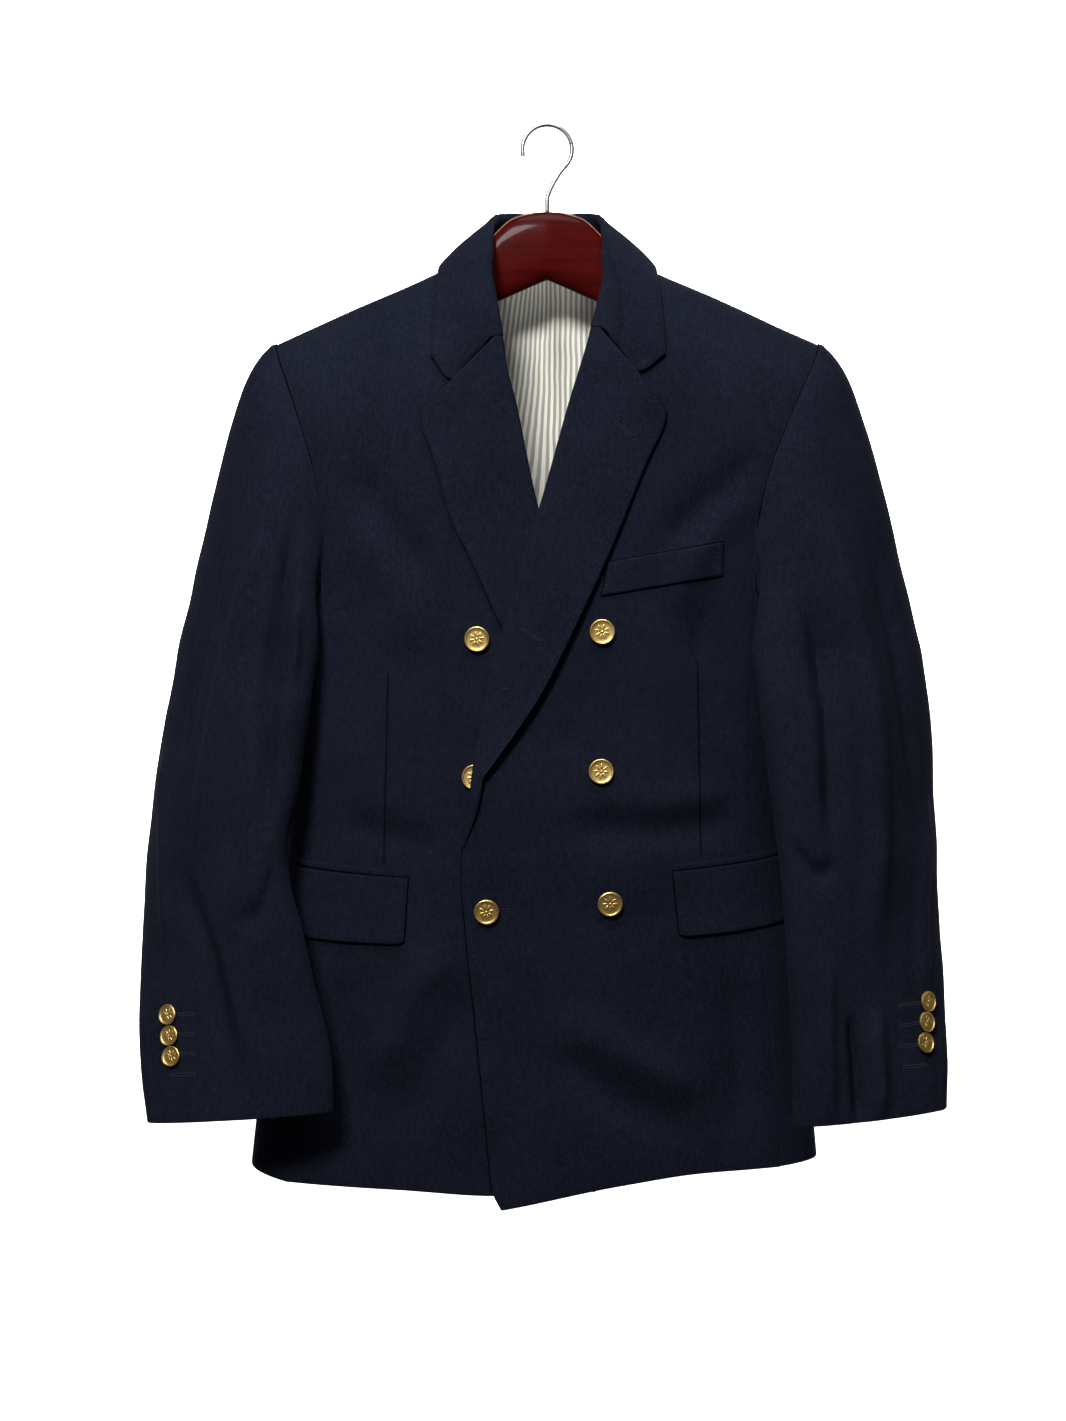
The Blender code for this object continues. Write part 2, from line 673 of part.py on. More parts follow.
def sleeve_panel(side, name, from_turn, to_turn, columns, rows):
    def surface(u, v):
        return creased_sleeve(side, mix(from_turn(v), to_turn(v), u), v)

    def place(u, v, inside):
        down = 1.0 - v
        point = surface(u, down)
        if not inside:
            return point
        outward = surface_normal(surface, u, clamp(down, 0.004, 0.996)) * side
        return point - outward * CLOTH

    return wall(name, place, columns, rows)


def sleeve(side):
    half_gap = SLEEVE_GAP
    word = "left" if side == LEFT else "right"
    top = sleeve_panel(
        side, "sleeve_top_" + word, lambda v: back_seam_turn(v) + half_gap,
        lambda v: SLEEVE_FRONT_SEAM - half_gap, 10, 22,
    )
    under = sleeve_panel(
        side, "sleeve_under_" + word, lambda v: SLEEVE_FRONT_SEAM + half_gap,
        lambda v: 360.0 + back_seam_turn(v) - half_gap, 7, 20,
    )
    return top, under


# ------------------------------------------------------- lapels and collar

# The roll's section: how far past the front's edge and how far out of its face.
Turn = namedtuple("Turn", "outer_q outer_lift inner_q inner_lift")
ROLL = [
    Turn(-0.0012, -0.0021, -0.0011, -0.0010),
    Turn(-0.0034, -0.0012, -0.0014, -0.0006),
    Turn(-0.0041, 0.0010, -0.0016, 0.0006),
    Turn(-0.0030, 0.0030, -0.0010, 0.0012),
    Turn(0.0016, 0.0042, 0.0022, 0.0019),
]
ROLL_PUFF = 0.0010
ROLL_TAPER = 0.6          # the roll's reach at the lapel's foot, as a share


def lapel_edge(side, z):
    return read(LEFT_LAPEL if side == LEFT else RIGHT_LAPEL, "across", z)


def lapel_panel(side):
    columns, rows = 9, 16
    turns = len(ROLL) - 1
    gorge = GORGE[side]
    edge_top = (LEFT_LAPEL if side == LEFT else RIGHT_LAPEL)[-1].height

    def place(u, v, inside):
        column = round(u * columns)
        roll_z = mix(LAPEL_FOOT[side], gorge.height - 0.001, v)
        edge_z = mix(LAPEL_FOOT[side], edge_top, v)
        roll_x = front_edge(side, roll_z)
        edge_x = roll_x + side * max(side * (lapel_edge(side, edge_z) - roll_x), LAPEL_LEAST)
        row = ROLL[min(column, turns)]
        past = row.inner_q if inside else row.outer_q
        past *= mix(ROLL_TAPER, 1.0, smooth((roll_z - LAPEL_FOOT[side]) / 0.030))
        lift = row.inner_lift if inside else row.outer_lift
        share = clamp((column - turns) / (columns - turns))
        start_x = roll_x + side * past
        x = mix(start_x, edge_x, share)
        z = mix(roll_z, edge_z, share)
        if column > turns:
            rest = LAYER if inside else LAYER + LAPEL_CLOTH
            lift = mix(lift, rest, smooth(share)) + ROLL_PUFF * math.sin(math.pi * share)
        return on_body(x, z, FRONT, lift + front_lift(side, x, z))

    return wall("lapel_left" if side == LEFT else "lapel_right", place, columns, rows)


def gorge_place(side, share):
    """(x, z) on the collar's side of the gorge seam, from the roll to the lapel's point."""
    start_z = GORGE[side].height - 0.001
    start_x = front_edge(side, start_z) + side * ROLL[-1].inner_q
    end_z = (LEFT_LAPEL if side == LEFT else RIGHT_LAPEL)[-1].height
    end_x = lapel_edge(side, end_z)
    run = Vector((abs(end_x - start_x), end_z - start_z)).normalized()
    x = mix(start_x, end_x, share) - side * run.y * GORGE_GAP
    return x, mix(start_z, end_z, share) + run.x * GORGE_GAP


def rest_on_panels(side, point, lift):
    """Keep a point that lies over a front or the back at least lift off its cloth."""
    face = FRONT if point.y <= 0.0 else BACK
    height = min(point.z, ridge(point.x) - 0.0005)
    if face == FRONT:
        over_panel = side * (point.x - front_edge(side, height)) > -NECK_MARGIN
        over_panel = over_panel and height < NECK_HEIGHT + 0.003
        lift += front_lift(side, point.x, height)
    else:
        over_panel = height < back_neck(point.x) + 0.004
    if not over_panel or point.z > ridge(point.x) + 0.006:
        return point
    cloth = on_body(point.x, height, face)
    outward = (on_body(point.x, height, face, 0.001) - cloth).normalized()
    short = lift - (point - cloth).dot(outward)
    return point + outward * max(short, 0.0)


# The collar's middle line where it turns round the front's neckline at the gorge.
COLLAR_ROLL = [
    (-0.0020, -0.0016), (-0.0030, -0.0008), (-0.0036, 0.0004), (-0.0036, 0.0016),
    (-0.0018, 0.0032),
]


def rolled_collar(side, z):
    edge = front_edge(side, z)
    points = []
    for past, lift in COLLAR_ROLL:
        x = edge + side * past
        points.append(on_body(x, z, FRONT, lift + front_lift(side, x, z)))
    return points


def neck_seam(side, share):
    """Where the collar is sewn on: round the back neck, then down the front's neckline."""
    if share <= NECK_SHARE:
        x = side * NECK_HALF * (share / NECK_SHARE)
        return on_body(x, back_neck(x), BACK, -CLOTH / 2)
    z = mix(NECK_HEIGHT, GORGE[side].height + 0.002, (share - NECK_SHARE) / (1.0 - NECK_SHARE))
    x = front_edge(side, z)
    return on_body(x, z, FRONT, front_lift(side, x, z) - CLOTH / 2)


def collar_section(share):
    """Middle line of the collar's wall at a place from the right gorge to the left."""
    side = LEFT if share >= 0.0 else RIGHT
    at = abs(share)
    fold = Vector((
        side * read(COLLAR, "fold_x", at), read(COLLAR, "fold_y", at), read(COLLAR, "fold_z", at),
    ))
    edge_x, edge_z = side * read(COLLAR, "edge_x", at), read(COLLAR, "edge_z", at)
    face = BACK if at < 0.5 * (COLLAR[2].share + COLLAR[3].share) else FRONT
    over = front_lift(side, edge_x, edge_z) if face == FRONT else 0.0
    puff = SHOULDER_PUFF * math.exp(-(((at - 0.44) / 0.09) ** 2))
    edge_z = min(edge_z, ridge(edge_x) - 0.0002)
    edge = on_body(edge_x, edge_z, face, COLLAR_LIFT + over + puff)
    seam = neck_seam(side, at)
    seam = seam + (fold - seam).normalized() * NECK_GAP
    outward = Vector((fold.x, fold.y, 0.0)).normalized()
    down = Vector((0.0, 0.0, -1.0))
    stand_top = fold - outward * FOLD_RADIUS + down * FOLD_RADIUS
    fall_top = fold + outward * FOLD_RADIUS + down * FOLD_RADIUS
    line = [seam, seam.lerp(stand_top, 0.55), stand_top, fold, fall_top]
    toward_gorge = smooth((at - 0.66) / 0.34)
    if toward_gorge > 0.0:
        rolled = rolled_collar(side, mix(fold.z, GORGE[side].height + 0.0005, toward_gorge))
        line = [a.lerp(b, toward_gorge) for a, b in zip(line, rolled)]
    if 0.5 < at < 0.999:
        line[-1] = rest_on_panels(side, line[-1], COLLAR_REST * 0.8)
    fall_top = line[-1]
    for step in range(1, 5):
        t = step / 4
        point = fall_top.lerp(edge, t) + outward * 0.0035 * math.sin(math.pi * t)
        line.append(rest_on_panels(side, point, COLLAR_REST + puff * t))
    if at > 0.999:
        for column, part in ((4, 0.0), (5, 0.33), (6, 0.66), (7, 1.0)):
            x, z = gorge_place(side, part * GORGE[side].notch_share)
            line[column] = on_body(x, z, FRONT, COLLAR_LIFT + front_lift(side, x, z))
    return line


def collar_panel():
    rows = 26
    grid = [collar_section(mix(-1.0, 1.0, row / rows)) for row in range(rows + 1)]
    columns = len(grid[0]) - 1

    def outward(row, column):
        before, after = grid[max(row - 1, 0)], grid[min(row + 1, rows)]
        left = grid[row][max(column - 1, 0)]
        right = grid[row][min(column + 1, columns)]
        return (right - left).cross(after[column] - before[column]).normalized()

    def place(u, v, inside):
        row, column = round(v * rows), round(u * columns)
        half = CLOTH / 2 if inside else -CLOTH / 2
        return grid[row][column] + outward(row, column) * half

    return wall("collar", place, columns, rows)


# -------------------------------------------------------- pockets, buttons


def patch(name, corner_at, columns, rows, lift, thickness):
    """A small piece that lies on a front: corner_at(u, v) gives its (x, z)."""

    def place(u, v, inside):
        x, z, side = corner_at(u, v)
        out = lift + front_lift(side, x, z) + (0.0 if inside else thickness)
        return on_body(x, z, FRONT, out)

    return wall(name, place, columns, rows)


def chest_welt():
    top_left, top_right, foot_right, foot_left = WELT_CORNERS

    def corner_at(u, v):
        x = mix(mix(foot_left[0], foot_right[0], u), mix(top_left[0], top_right[0], u), v)
        z = mix(mix(foot_left[1], foot_right[1], u), mix(top_left[1], top_right[1], u), v)
        return x, z, LEFT

    return patch("chest_welt", corner_at, 8, 2, LAYER * 0.8, 0.0014)


def toward_side(side, x, z, u):
    """x of a place between x and the pocket's far end, evenly round the body."""
    centre, half = section(z)[:2]
    start = math.asin(clamp(abs(x - centre) / half) ** (ROUNDNESS / 2.0))
    end = math.asin(POCKET_END ** (ROUNDNESS / 2.0))
    return centre + side * half * math.sin(mix(start, end, u)) ** (2.0 / ROUNDNESS)


def pocket(side):
    word = "left" if side == LEFT else "right"
    plan = POCKETS[side]

    def jet_at(u, v):
        z = plan.jet_top[1] + plan.jet_rise * u - JET_HEIGHT * (1.0 - v)
        return toward_side(side, plan.jet_top[0], z, u), z, side

    def flap_at(u, v):
        x = mix(plan.flap_foot[0], plan.flap_top[0], v)
        z = mix(plan.flap_foot[1], plan.flap_top[1], v) + plan.flap_rise * u
        corner = 0.006 * (1.0 - v) * (1.0 - smooth(u / 0.14))
        return toward_side(side, x, z, u), z + corner, side

    patch("pocket_jet_" + word, jet_at, 10, 1, LAYER * 0.8, 0.0012)
    patch("pocket_flap_" + word, flap_at, 10, 3, LAYER * 0.9, CLOTH)


def button(name, radius, steps, seat, outward, gap=BUTTON_GAP):
    """A turned metal button on its shank, its back at the seat."""
    share = radius / FRONT_BUTTON
    profile = [
        (0.0, 0.0), (0.0022, 0.0), (0.0022, 0.0019), (0.01035, 0.0023),
        (0.01035, 0.0040), (0.0088, 0.0048), (0.0, 0.0044),
    ]
    mesh = bmesh.new()
    points = [mesh.verts.new((r * share, 0.0, h * share)) for r, h in profile]
    edges = [mesh.edges.new(pair) for pair in zip(points, points[1:])]
    bmesh.ops.spin(
        mesh, geom=points + edges, cent=(0, 0, 0), axis=(0, 0, 1),
        angle=2 * math.pi, steps=steps, use_merge=True,
    )
    bmesh.ops.remove_doubles(mesh, verts=mesh.verts, dist=0.00002)
    bmesh.ops.recalc_face_normals(mesh, faces=mesh.faces)
    thing = finish(name, mesh, SATIN_GOLD, 0.35, 1.0, smooth_shade=True)
    thing.location = seat + outward * gap
    thing.rotation_mode = "QUATERNION"
    thing.rotation_quaternion = outward.to_track_quat("Z", "Y")
    return thing


def front_buttons():
    step = 0.003
    for number, (x, z) in enumerate(FRONT_BUTTONS, start=1):
        under = number in (1, 3)
        side = RIGHT if under else LEFT

        def cloth(at_x, at_z):
            return on_body(at_x, at_z, FRONT, front_lift(side, at_x, at_z))

        across = cloth(x + step, z) - cloth(x - step, z)
        upward = cloth(x, z + step) - cloth(x, z - step)
        outward = across.cross(upward).normalized()
        button(f"button_front_{number}", FRONT_BUTTON, 12, cloth(x, z), outward)


def cuff_seat(side, x, z):
    """The place and outward direction on a sleeve's front face at (x, z)."""
    v = mix(HEAD_SHARE, 1.0, (BICEP - z) / (BICEP - CUFF))
    low, high = 5.0, 100.0
    for _ in range(30):
        turn = mix(low, high, 0.5)
        if abs(sleeve_point(side, turn, v).x) > abs(x):
            low = turn
        else:
            high = turn

    def plain(u, w):
        return sleeve_point(side, u * 60.0, w)

    outward = surface_normal(plain, turn / 60.0, v) * side
    return sleeve_point(side, turn, v), outward


def cuff_buttons():
    for side, word in ((LEFT, "left"), (RIGHT, "right")):
        for number, (x, z) in enumerate(CUFF_BUTTONS[side], start=1):
            seat, outward = cuff_seat(side, x, z)
            name = f"button_cuff_{word}_{number}"
            button(name, CUFF_BUTTON, 10, seat, outward, CUFF_BUTTON_GAP)


# ----------------------------------------------------------------- hanger


def hanger_wood():
    """A contoured wooden hanger: rounded sections from tip to tip."""
    table = [Arm(-row.across, *row[1:]) for row in reversed(HANGER[1:])] + HANGER
    mesh = bmesh.new()
    rings = []
    for arm in table:
        middle, half = 0.5 * (arm.top + arm.foot), 0.5 * (arm.top - arm.foot)
        ring = []
        for corner in range(10):
            angle = 2.0 * math.pi * (corner + 0.5) / 10
            y = arm.half_thick * signed_power(math.cos(angle), 0.75)
            z = middle + half * signed_power(math.sin(angle), 0.60)
            ring.append(mesh.verts.new((arm.across, y, z)))
        rings.append(ring)
    for first, second in zip(rings, rings[1:]):
        for i, j in zip(range(10), [*range(1, 10), 0]):
            mesh.faces.new((first[i], first[j], second[j], second[i]))
    mesh.faces.new(rings[0])
    mesh.faces.new(rings[-1])
    bmesh.ops.recalc_face_normals(mesh, faces=mesh.faces)
    return finish("hanger_wood", mesh, (0.12, 0.018, 0.012), 0.18, smooth_shade=True)


def hook_route():
    """Middle line of the hook: a stem, a bend to one side and most of a circle."""
    wire = HOOK_INNER + HOOK_WIRE
    foot = HANGER[0].top + SEAM
    stem = [Vector((0.0, 0.0, foot)), Vector((0.0, 0.0, -0.0600))]
    start = math.radians(-48.0)
    ring_start = Vector((wire * math.cos(start), 0.0, -HOOK_INNER + wire * math.sin(start)))
    bend = []
    for step in range(1, 4):
        t = step / 4
        bend.append(stem[1].lerp(ring_start, t) + Vector((-0.0016 * math.sin(math.pi * t), 0, 0)))
    ring = []
    for step in range(17):
        angle = mix(start, math.radians(196.0), step / 16)
        ring.append(Vector((wire * math.cos(angle), 0.0, -HOOK_INNER + wire * math.sin(angle))))
    return stem + bend + ring


def hanger_hook():
    route = hook_route()
    data = bpy.data.curves.new("hanger_hook", "CURVE")
    data.dimensions = "3D"
    data.bevel_depth = HOOK_WIRE
    data.bevel_resolution = 2
    data.use_fill_caps = True
    line = data.splines.new("POLY")
    line.points.add(len(route) - 1)
    for point, place in zip(line.points, route):
        point.co = (*place, 1.0)
    thing = bpy.data.objects.new("hanger_hook", data)
    bpy.context.scene.collection.objects.link(thing)
    paint(thing, (0.60, 0.60, 0.61), 0.25, 1.0)
    return thing


def main():
    for thing in list(bpy.data.objects):
        bpy.data.objects.remove(thing)
    for side in (LEFT, RIGHT):
        front_panel(side)
        side_panel(side)
        back_panel(side)
        lining_panel(side)
        sleeve(side)
        lapel_panel(side)
        pocket(side)
    collar_panel()
    chest_welt()
    front_buttons()
    cuff_buttons()
    hanger_wood()
    hanger_hook()


main()
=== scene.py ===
"""The look of a double-breasted blazer that hangs on a wooden hanger.

Metres, +Z up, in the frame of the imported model: the rail carries the hook at
the origin, the wearer's left is at +X and the front faces -Y.
"""

import bisect
import math
from collections import namedtuple

import bmesh
import bpy
from mathutils import Matrix, Vector, noise
from mathutils.bvhtree import BVHTree


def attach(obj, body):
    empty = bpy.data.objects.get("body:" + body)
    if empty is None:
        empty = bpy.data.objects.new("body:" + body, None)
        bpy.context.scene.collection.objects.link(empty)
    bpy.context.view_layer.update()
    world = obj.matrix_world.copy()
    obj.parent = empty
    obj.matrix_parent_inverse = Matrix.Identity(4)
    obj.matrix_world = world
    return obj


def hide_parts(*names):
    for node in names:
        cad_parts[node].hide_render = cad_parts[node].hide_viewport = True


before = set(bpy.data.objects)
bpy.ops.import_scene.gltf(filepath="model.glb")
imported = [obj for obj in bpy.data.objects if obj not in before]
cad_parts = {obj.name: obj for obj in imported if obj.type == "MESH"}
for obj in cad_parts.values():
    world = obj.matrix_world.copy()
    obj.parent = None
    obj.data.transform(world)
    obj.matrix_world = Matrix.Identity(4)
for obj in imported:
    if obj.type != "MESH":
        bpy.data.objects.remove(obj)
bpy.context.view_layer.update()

# ------------------------------------------------------------------ sizes

LEFT, RIGHT = 1, -1
WORD = {LEFT: "left", RIGHT: "right"}
FRONT, BACK = -1, 1

CLOTH = 0.0018            # wool panel with its interlining
LAPEL_CLOTH = 0.0024
COLLAR_CLOTH = 0.0020
LINING_CLOTH = 0.0010
WELT_CLOTH = 0.0020
JET_CLOTH = 0.0013
TUCK = 0.0005             # how far neighbouring pieces run under each other at a seam
LAYER = 0.0008            # the air between cloths that lie on each other

NECK_HALF = 0.074
NECK_HEIGHT = -0.1155
NECK_SLOPE = 1.60
SHOULDER_SLOPE = 0.445
RIDGE_DROP = 0.120
ROUNDNESS = 2.6           # power of the body's level sections: 2 would be an ellipse

CENTRE_BACK_NECK = -0.094
FRONT_SEAM = 0.857
BACK_SEAM = 0.900
SHOULDER_POINT = -0.184
UNDERARM_FRONT = -0.392
UNDERARM_BACK = -0.368
UNDERARM_DIP = 0.045
BACK_HEM = -0.868
SIDE_HEM_RISE = 0.003

BICEP = -0.440
CUFF = -0.822
HEAD_SHARE = 0.40         # share of a sleeve's rows that are above the bicep
SLEEVE_CLEAR = 0.0045     # room between a sleeve and the body's side
SLEEVE_FRONT_SEAM = 168.0  # degrees round a sleeve, 0 at its outer edge and 90 in front
BACK_SEAM_TURNS = (-72.0, 20.0)
ARMHOLE_LOW_FRONT = 170.0  # turns round the armhole, 0 at the shoulder
ARMHOLE_LOW_BACK = 240.0
SLEEVE_TUCK = 0.16        # degrees that the two halves of a sleeve overlap by
SLEEVE_UNDER = 0.0016     # the sleeve's edge lies this far under the body's cloth
SLEEVE_ROPE = 0.0016      # the padded ridge where a sleeve's head meets the shoulder

# ------------------------------------------------------------- small maths


def clamp(value, low=0.0, high=1.0):
    return max(low, min(high, value))


def mix(a, b, share):
    return a + (b - a) * share


def smooth(share):
    share = clamp(share)
    return share * share * (3.0 - 2.0 * share)


def signed_power(value, power):
    return math.copysign(abs(value) ** power, value)


class Course:
    """One size as it changes along another, smooth and with no overshoot."""

    def __init__(self, stops):
        self.at = [stop[0] for stop in stops]
        self.size = [stop[1] for stop in stops]
        rise = [
            (b - a) / (q - p)
            for a, b, p, q in zip(self.size, self.size[1:], self.at, self.at[1:])
        ]
        self.slope = [rise[0]]
        for before, after in zip(rise, rise[1:]):
            turning = before * after <= 0.0
            self.slope.append(0.0 if turning else 2.0 * before * after / (before + after))
        self.slope.append(rise[-1])

    def __call__(self, at):
        if at <= self.at[0]:
            return self.size[0]
        if at >= self.at[-1]:
            return self.size[-1]
        row = bisect.bisect_right(self.at, at) - 1
        span = self.at[row + 1] - self.at[row]
        t = (at - self.at[row]) / span
        return (
            self.size[row] * (2 * t**3 - 3 * t**2 + 1)
            + self.slope[row] * span * (t**3 - 2 * t**2 + t)
            + self.size[row + 1] * (3 * t**2 - 2 * t**3)
            + self.slope[row + 1] * span * (t**3 - t**2)
        )


RIM_STEP = 0.0005


def stops(count, length):
    """Shares from 0 to 1 along a length, closer together at both rims."""
    rim = RIM_STEP / length
    inner = [mix(3.2 * rim, 1.0 - 3.2 * rim, i / count) for i in range(count + 1)]
    return [0.0, rim, *inner, 1.0 - rim, 1.0]


def steps(low, high, count=24):
    """Evenly spaced values from low to high, both included."""
    return [mix(low, high, i / count) for i in range(count + 1)]


# Soft folds, each laid along a given line: + is a ridge and - a trough.
Fold = namedtuple("Fold", "line width height")


def fold_height(folds, place):
    """How far the folds near a place lift the cloth there."""
    total = 0.0
    for fold in folds:
        nearest, along = None, 0.0
        run = 0.0
        length = sum((b - a).length for a, b in zip(fold.line, fold.line[1:]))
        for a, b in zip(fold.line, fold.line[1:]):
            span = b - a
            share = clamp((place - a).dot(span) / span.length_squared)
            distance = (place - a - span * share).length
            if nearest is None or distance < nearest:
                nearest, along = distance, (run + share * span.length) / length
            run += span.length
        if nearest < 2.2 * fold.width:
            fade = smooth(along / 0.30 + 0.15) * smooth((1.0 - along) / 0.30 + 0.15)
            total += fold.height * fade * math.exp(-2.0 * (nearest / fold.width) ** 2)
    return total


def folds(*rows):
    return [Fold([Vector(point) for point in line], width, height) for line, width, height in rows]


def wander(place, reach, size):
    """A slow unevenness of the cloth."""
    return noise.noise(place / reach) * size


# ---------------------------------------------------------- body surface

Section = namedtuple("Section", "height centre half_width front back")
BODY = [
    Section(-0.900, -0.011, 0.241, 0.051, 0.052),
    Section(-0.750, -0.010, 0.226, 0.053, 0.050),
    Section(-0.650, -0.010, 0.214, 0.054, 0.047),
    Section(-0.560, -0.009, 0.207, 0.055, 0.046),
    Section(-0.480, -0.009, 0.206, 0.056, 0.050),
    Section(-0.400, -0.008, 0.209, 0.058, 0.056),
    Section(-0.320, -0.006, 0.222, 0.058, 0.059),
    Section(-0.250, -0.003, 0.245, 0.056, 0.058),
    Section(-0.180, 0.000, 0.272, 0.055, 0.056),
    Section(-0.060, 0.000, 0.290, 0.055, 0.055),
]
BODY_COURSES = [Course([(row.height, row[i]) for row in BODY]) for i in range(1, 5)]

ARMHOLE_FRONT = Course([
    (-0.392, 0.1799), (-0.348, 0.179), (-0.318, 0.183), (-0.287, 0.190),
    (-0.250, 0.203), (-0.219, 0.215), (-0.200, 0.223), (-0.184, 0.228),
])
ARMHOLE_BACK = Course([
    (-0.368, 0.1923), (-0.330, 0.191), (-0.290, 0.194), (-0.250, 0.203),
    (-0.215, 0.216), (-0.184, 0.228),
])

# Inner edge of each front, from the hem up its edge, its roll and its neckline.
FRONT_EDGE = {
    LEFT: Course([
        (-0.905, -0.0370), (-0.897, -0.0410), (-0.888, -0.0455), (-0.855, -0.0487),
        (-0.780, -0.0562), (-0.712, -0.0635), (-0.660, -0.0684), (-0.640, -0.0702),
        (-0.622, -0.0704), (-0.606, -0.0692), (-0.590, -0.0655), (-0.572, -0.0612),
        (-0.556, -0.0590), (-0.508, -0.0523), (-0.461, -0.0409), (-0.417, -0.0300),
        (-0.362, -0.0138), (-0.308, 0.0026), (-0.243, 0.0206), (-0.195, 0.0352),
        (-0.177, 0.0400), (-0.155, 0.0490), (-0.136, 0.0610), (-0.1155, 0.0740),
    ]),
    RIGHT: Course([
        (-0.905, 0.0360), (-0.855, 0.0450), (-0.780, 0.0520), (-0.700, 0.0600),
        (-0.622, 0.0640), (-0.590, 0.0600), (-0.556, 0.0550), (-0.508, 0.0450),
        (-0.461, 0.0320), (-0.417, 0.0190), (-0.362, 0.0010), (-0.335, -0.0090),
        (-0.308, -0.0158), (-0.243, -0.0290), (-0.210, -0.0371), (-0.184, -0.0410),
        (-0.155, -0.0490), (-0.136, -0.0610), (-0.1155, -0.0740),
    ]),
}
LAPEL_EDGE = {
    LEFT: Course([
        (-0.603, -0.0685), (-0.589, -0.0660), (-0.5726, -0.0622), (-0.5547, -0.0568),
        (-0.5335, -0.0422), (-0.5009, -0.0193), (-0.4748, -0.0030), (-0.4153, 0.0263),
        (-0.3696, 0.0472), (-0.2881, 0.0809), (-0.2560, 0.0955), (-0.2481, 0.0968),
    ]),
    RIGHT: Course([
        (-0.5960, 0.0545), (-0.5547, 0.0430), (-0.5335, 0.0320), (-0.5009, 0.0130),
        (-0.4748, -0.0050), (-0.4265, -0.0365), (-0.3930, -0.0520), (-0.3644, -0.0651),
        (-0.3358, -0.0790), (-0.2876, -0.0929), (-0.2560, -0.1035), (-0.2476, -0.1043),
    ]),
}
LAPEL_POINT = {LEFT: -0.2481, RIGHT: -0.2476}
LAPEL_FOOT = {LEFT: -0.6030, RIGHT: -0.5740}
Gorge = namedtuple("Gorge", "height notch_share")
GORGE = {LEFT: Gorge(-0.1774, 0.55), RIGHT: Gorge(-0.1839, 0.58)}
GORGE_START = 0.0010      # the gorge seam starts this far below the roll's end
GORGE_GAP = 0.0007

FRONT_HEM = {
    LEFT: Course([
        (-0.036, -0.9025), (-0.012, -0.8978), (0.0593, -0.8830), (0.125, -0.8740),
        (0.200, -0.8705),
    ]),
    RIGHT: Course([
        (-0.225, -0.8830), (-0.1255, -0.8870), (-0.0474, -0.8915), (0.040, -0.8880),
    ]),
}

BODY_FOLDS = {
    FRONT: folds(
        ([(0.178, -0.280), (0.130, -0.325), (0.090, -0.362)], 0.022, -0.0063),
        ([(0.160, -0.315), (0.120, -0.365), (0.100, -0.420)], 0.020, 0.0045),
        ([(0.128, -0.408), (0.123, -0.455)], 0.012, -0.0024),
        ([(-0.170, -0.290), (-0.125, -0.345), (-0.098, -0.390)], 0.022, -0.0054),
        ([(-0.160, -0.340), (-0.120, -0.400), (-0.110, -0.450)], 0.020, 0.0036),
        ([(0.000, -0.588), (0.085, -0.592), (0.165, -0.584)], 0.017, -0.0054),
        ([(0.020, -0.560), (0.100, -0.566), (0.160, -0.558)], 0.016, 0.0030),
        ([(-0.175, -0.585), (-0.125, -0.596), (-0.085, -0.604)], 0.018, -0.0045),
        ([(-0.072, -0.682), (-0.112, -0.724), (-0.142, -0.800)], 0.020, 0.0063),
        ([(-0.052, -0.712), (-0.090, -0.770), (-0.112, -0.845)], 0.020, -0.0054),
        ([(0.012, -0.742), (0.070, -0.778), (0.135, -0.812)], 0.021, 0.0063),
        ([(0.000, -0.772), (0.055, -0.812), (0.112, -0.842)], 0.020, -0.0054),
        ([(0.150, -0.700), (0.160, -0.780), (0.158, -0.850)], 0.020, -0.0045),
        ([(-0.175, -0.700), (-0.185, -0.790), (-0.190, -0.860)], 0.020, -0.0045),
        ([(0.030, -0.470), (0.012, -0.530)], 0.018, -0.0024),
    ),
    BACK: folds(
        ([(-0.150, -0.205), (-0.095, -0.260), (-0.060, -0.305)], 0.026, -0.0057),
        ([(0.150, -0.210), (0.105, -0.262), (0.070, -0.315)], 0.024, -0.0060),
        ([(-0.175, -0.270), (-0.155, -0.340), (-0.150, -0.420)], 0.020, 0.0054),
        ([(0.176, -0.275), (0.158, -0.350), (0.150, -0.440)], 0.020, 0.0051),
        ([(-0.170, -0.560), (-0.090, -0.548), (-0.020, -0.540)], 0.020, -0.0051),
        ([(0.160, -0.592), (0.090, -0.575), (0.030, -0.565)], 0.020, -0.0051),
        ([(-0.150, -0.520), (-0.080, -0.512)], 0.018, 0.0033),
        ([(0.115, -0.650), (0.100, -0.740), (0.088, -0.840)], 0.027, 0.0072),
        ([(-0.092, -0.640), (-0.104, -0.730), (-0.112, -0.830)], 0.027, 0.0063),
        ([(0.045, -0.660), (0.040, -0.760)], 0.022, -0.0045),
        ([(-0.045, -0.690), (-0.050, -0.800)], 0.022, -0.0045),
    ),
}


def ridge(x):
    """Height of the shoulder line, and of the neck that it runs up to."""
    inside = NECK_HALF - abs(x)
    return NECK_HEIGHT + (NECK_SLOPE if inside > 0.0 else SHOULDER_SLOPE) * inside


def row_top(x):
    """Height of a panel's top row: the shoulder line, then level under the neckline."""
    inside = NECK_HALF - abs(x)
    if inside <= 0.0:
        return ridge(x)
    return NECK_HEIGHT + SHOULDER_SLOPE * inside * (1.0 - inside / (2.0 * NECK_HALF))


def section(z):
    return [course(z) for course in BODY_COURSES]


def depth_squared(x, z, face):
    """Square of the body's half depth: an arch in each level, closed over the shoulder."""
    centre, half, front, back = section(z)
    across = clamp(abs(x - centre) / half, 0.0, 0.9999)
    side = (1.0 - across**ROUNDNESS) ** (2.0 / ROUNDNESS)
    drop = min((ridge(x) - z) / RIDGE_DROP, 1.0)
    depth = front if face == FRONT else back
    return depth * depth * side * drop * (2.0 - drop)


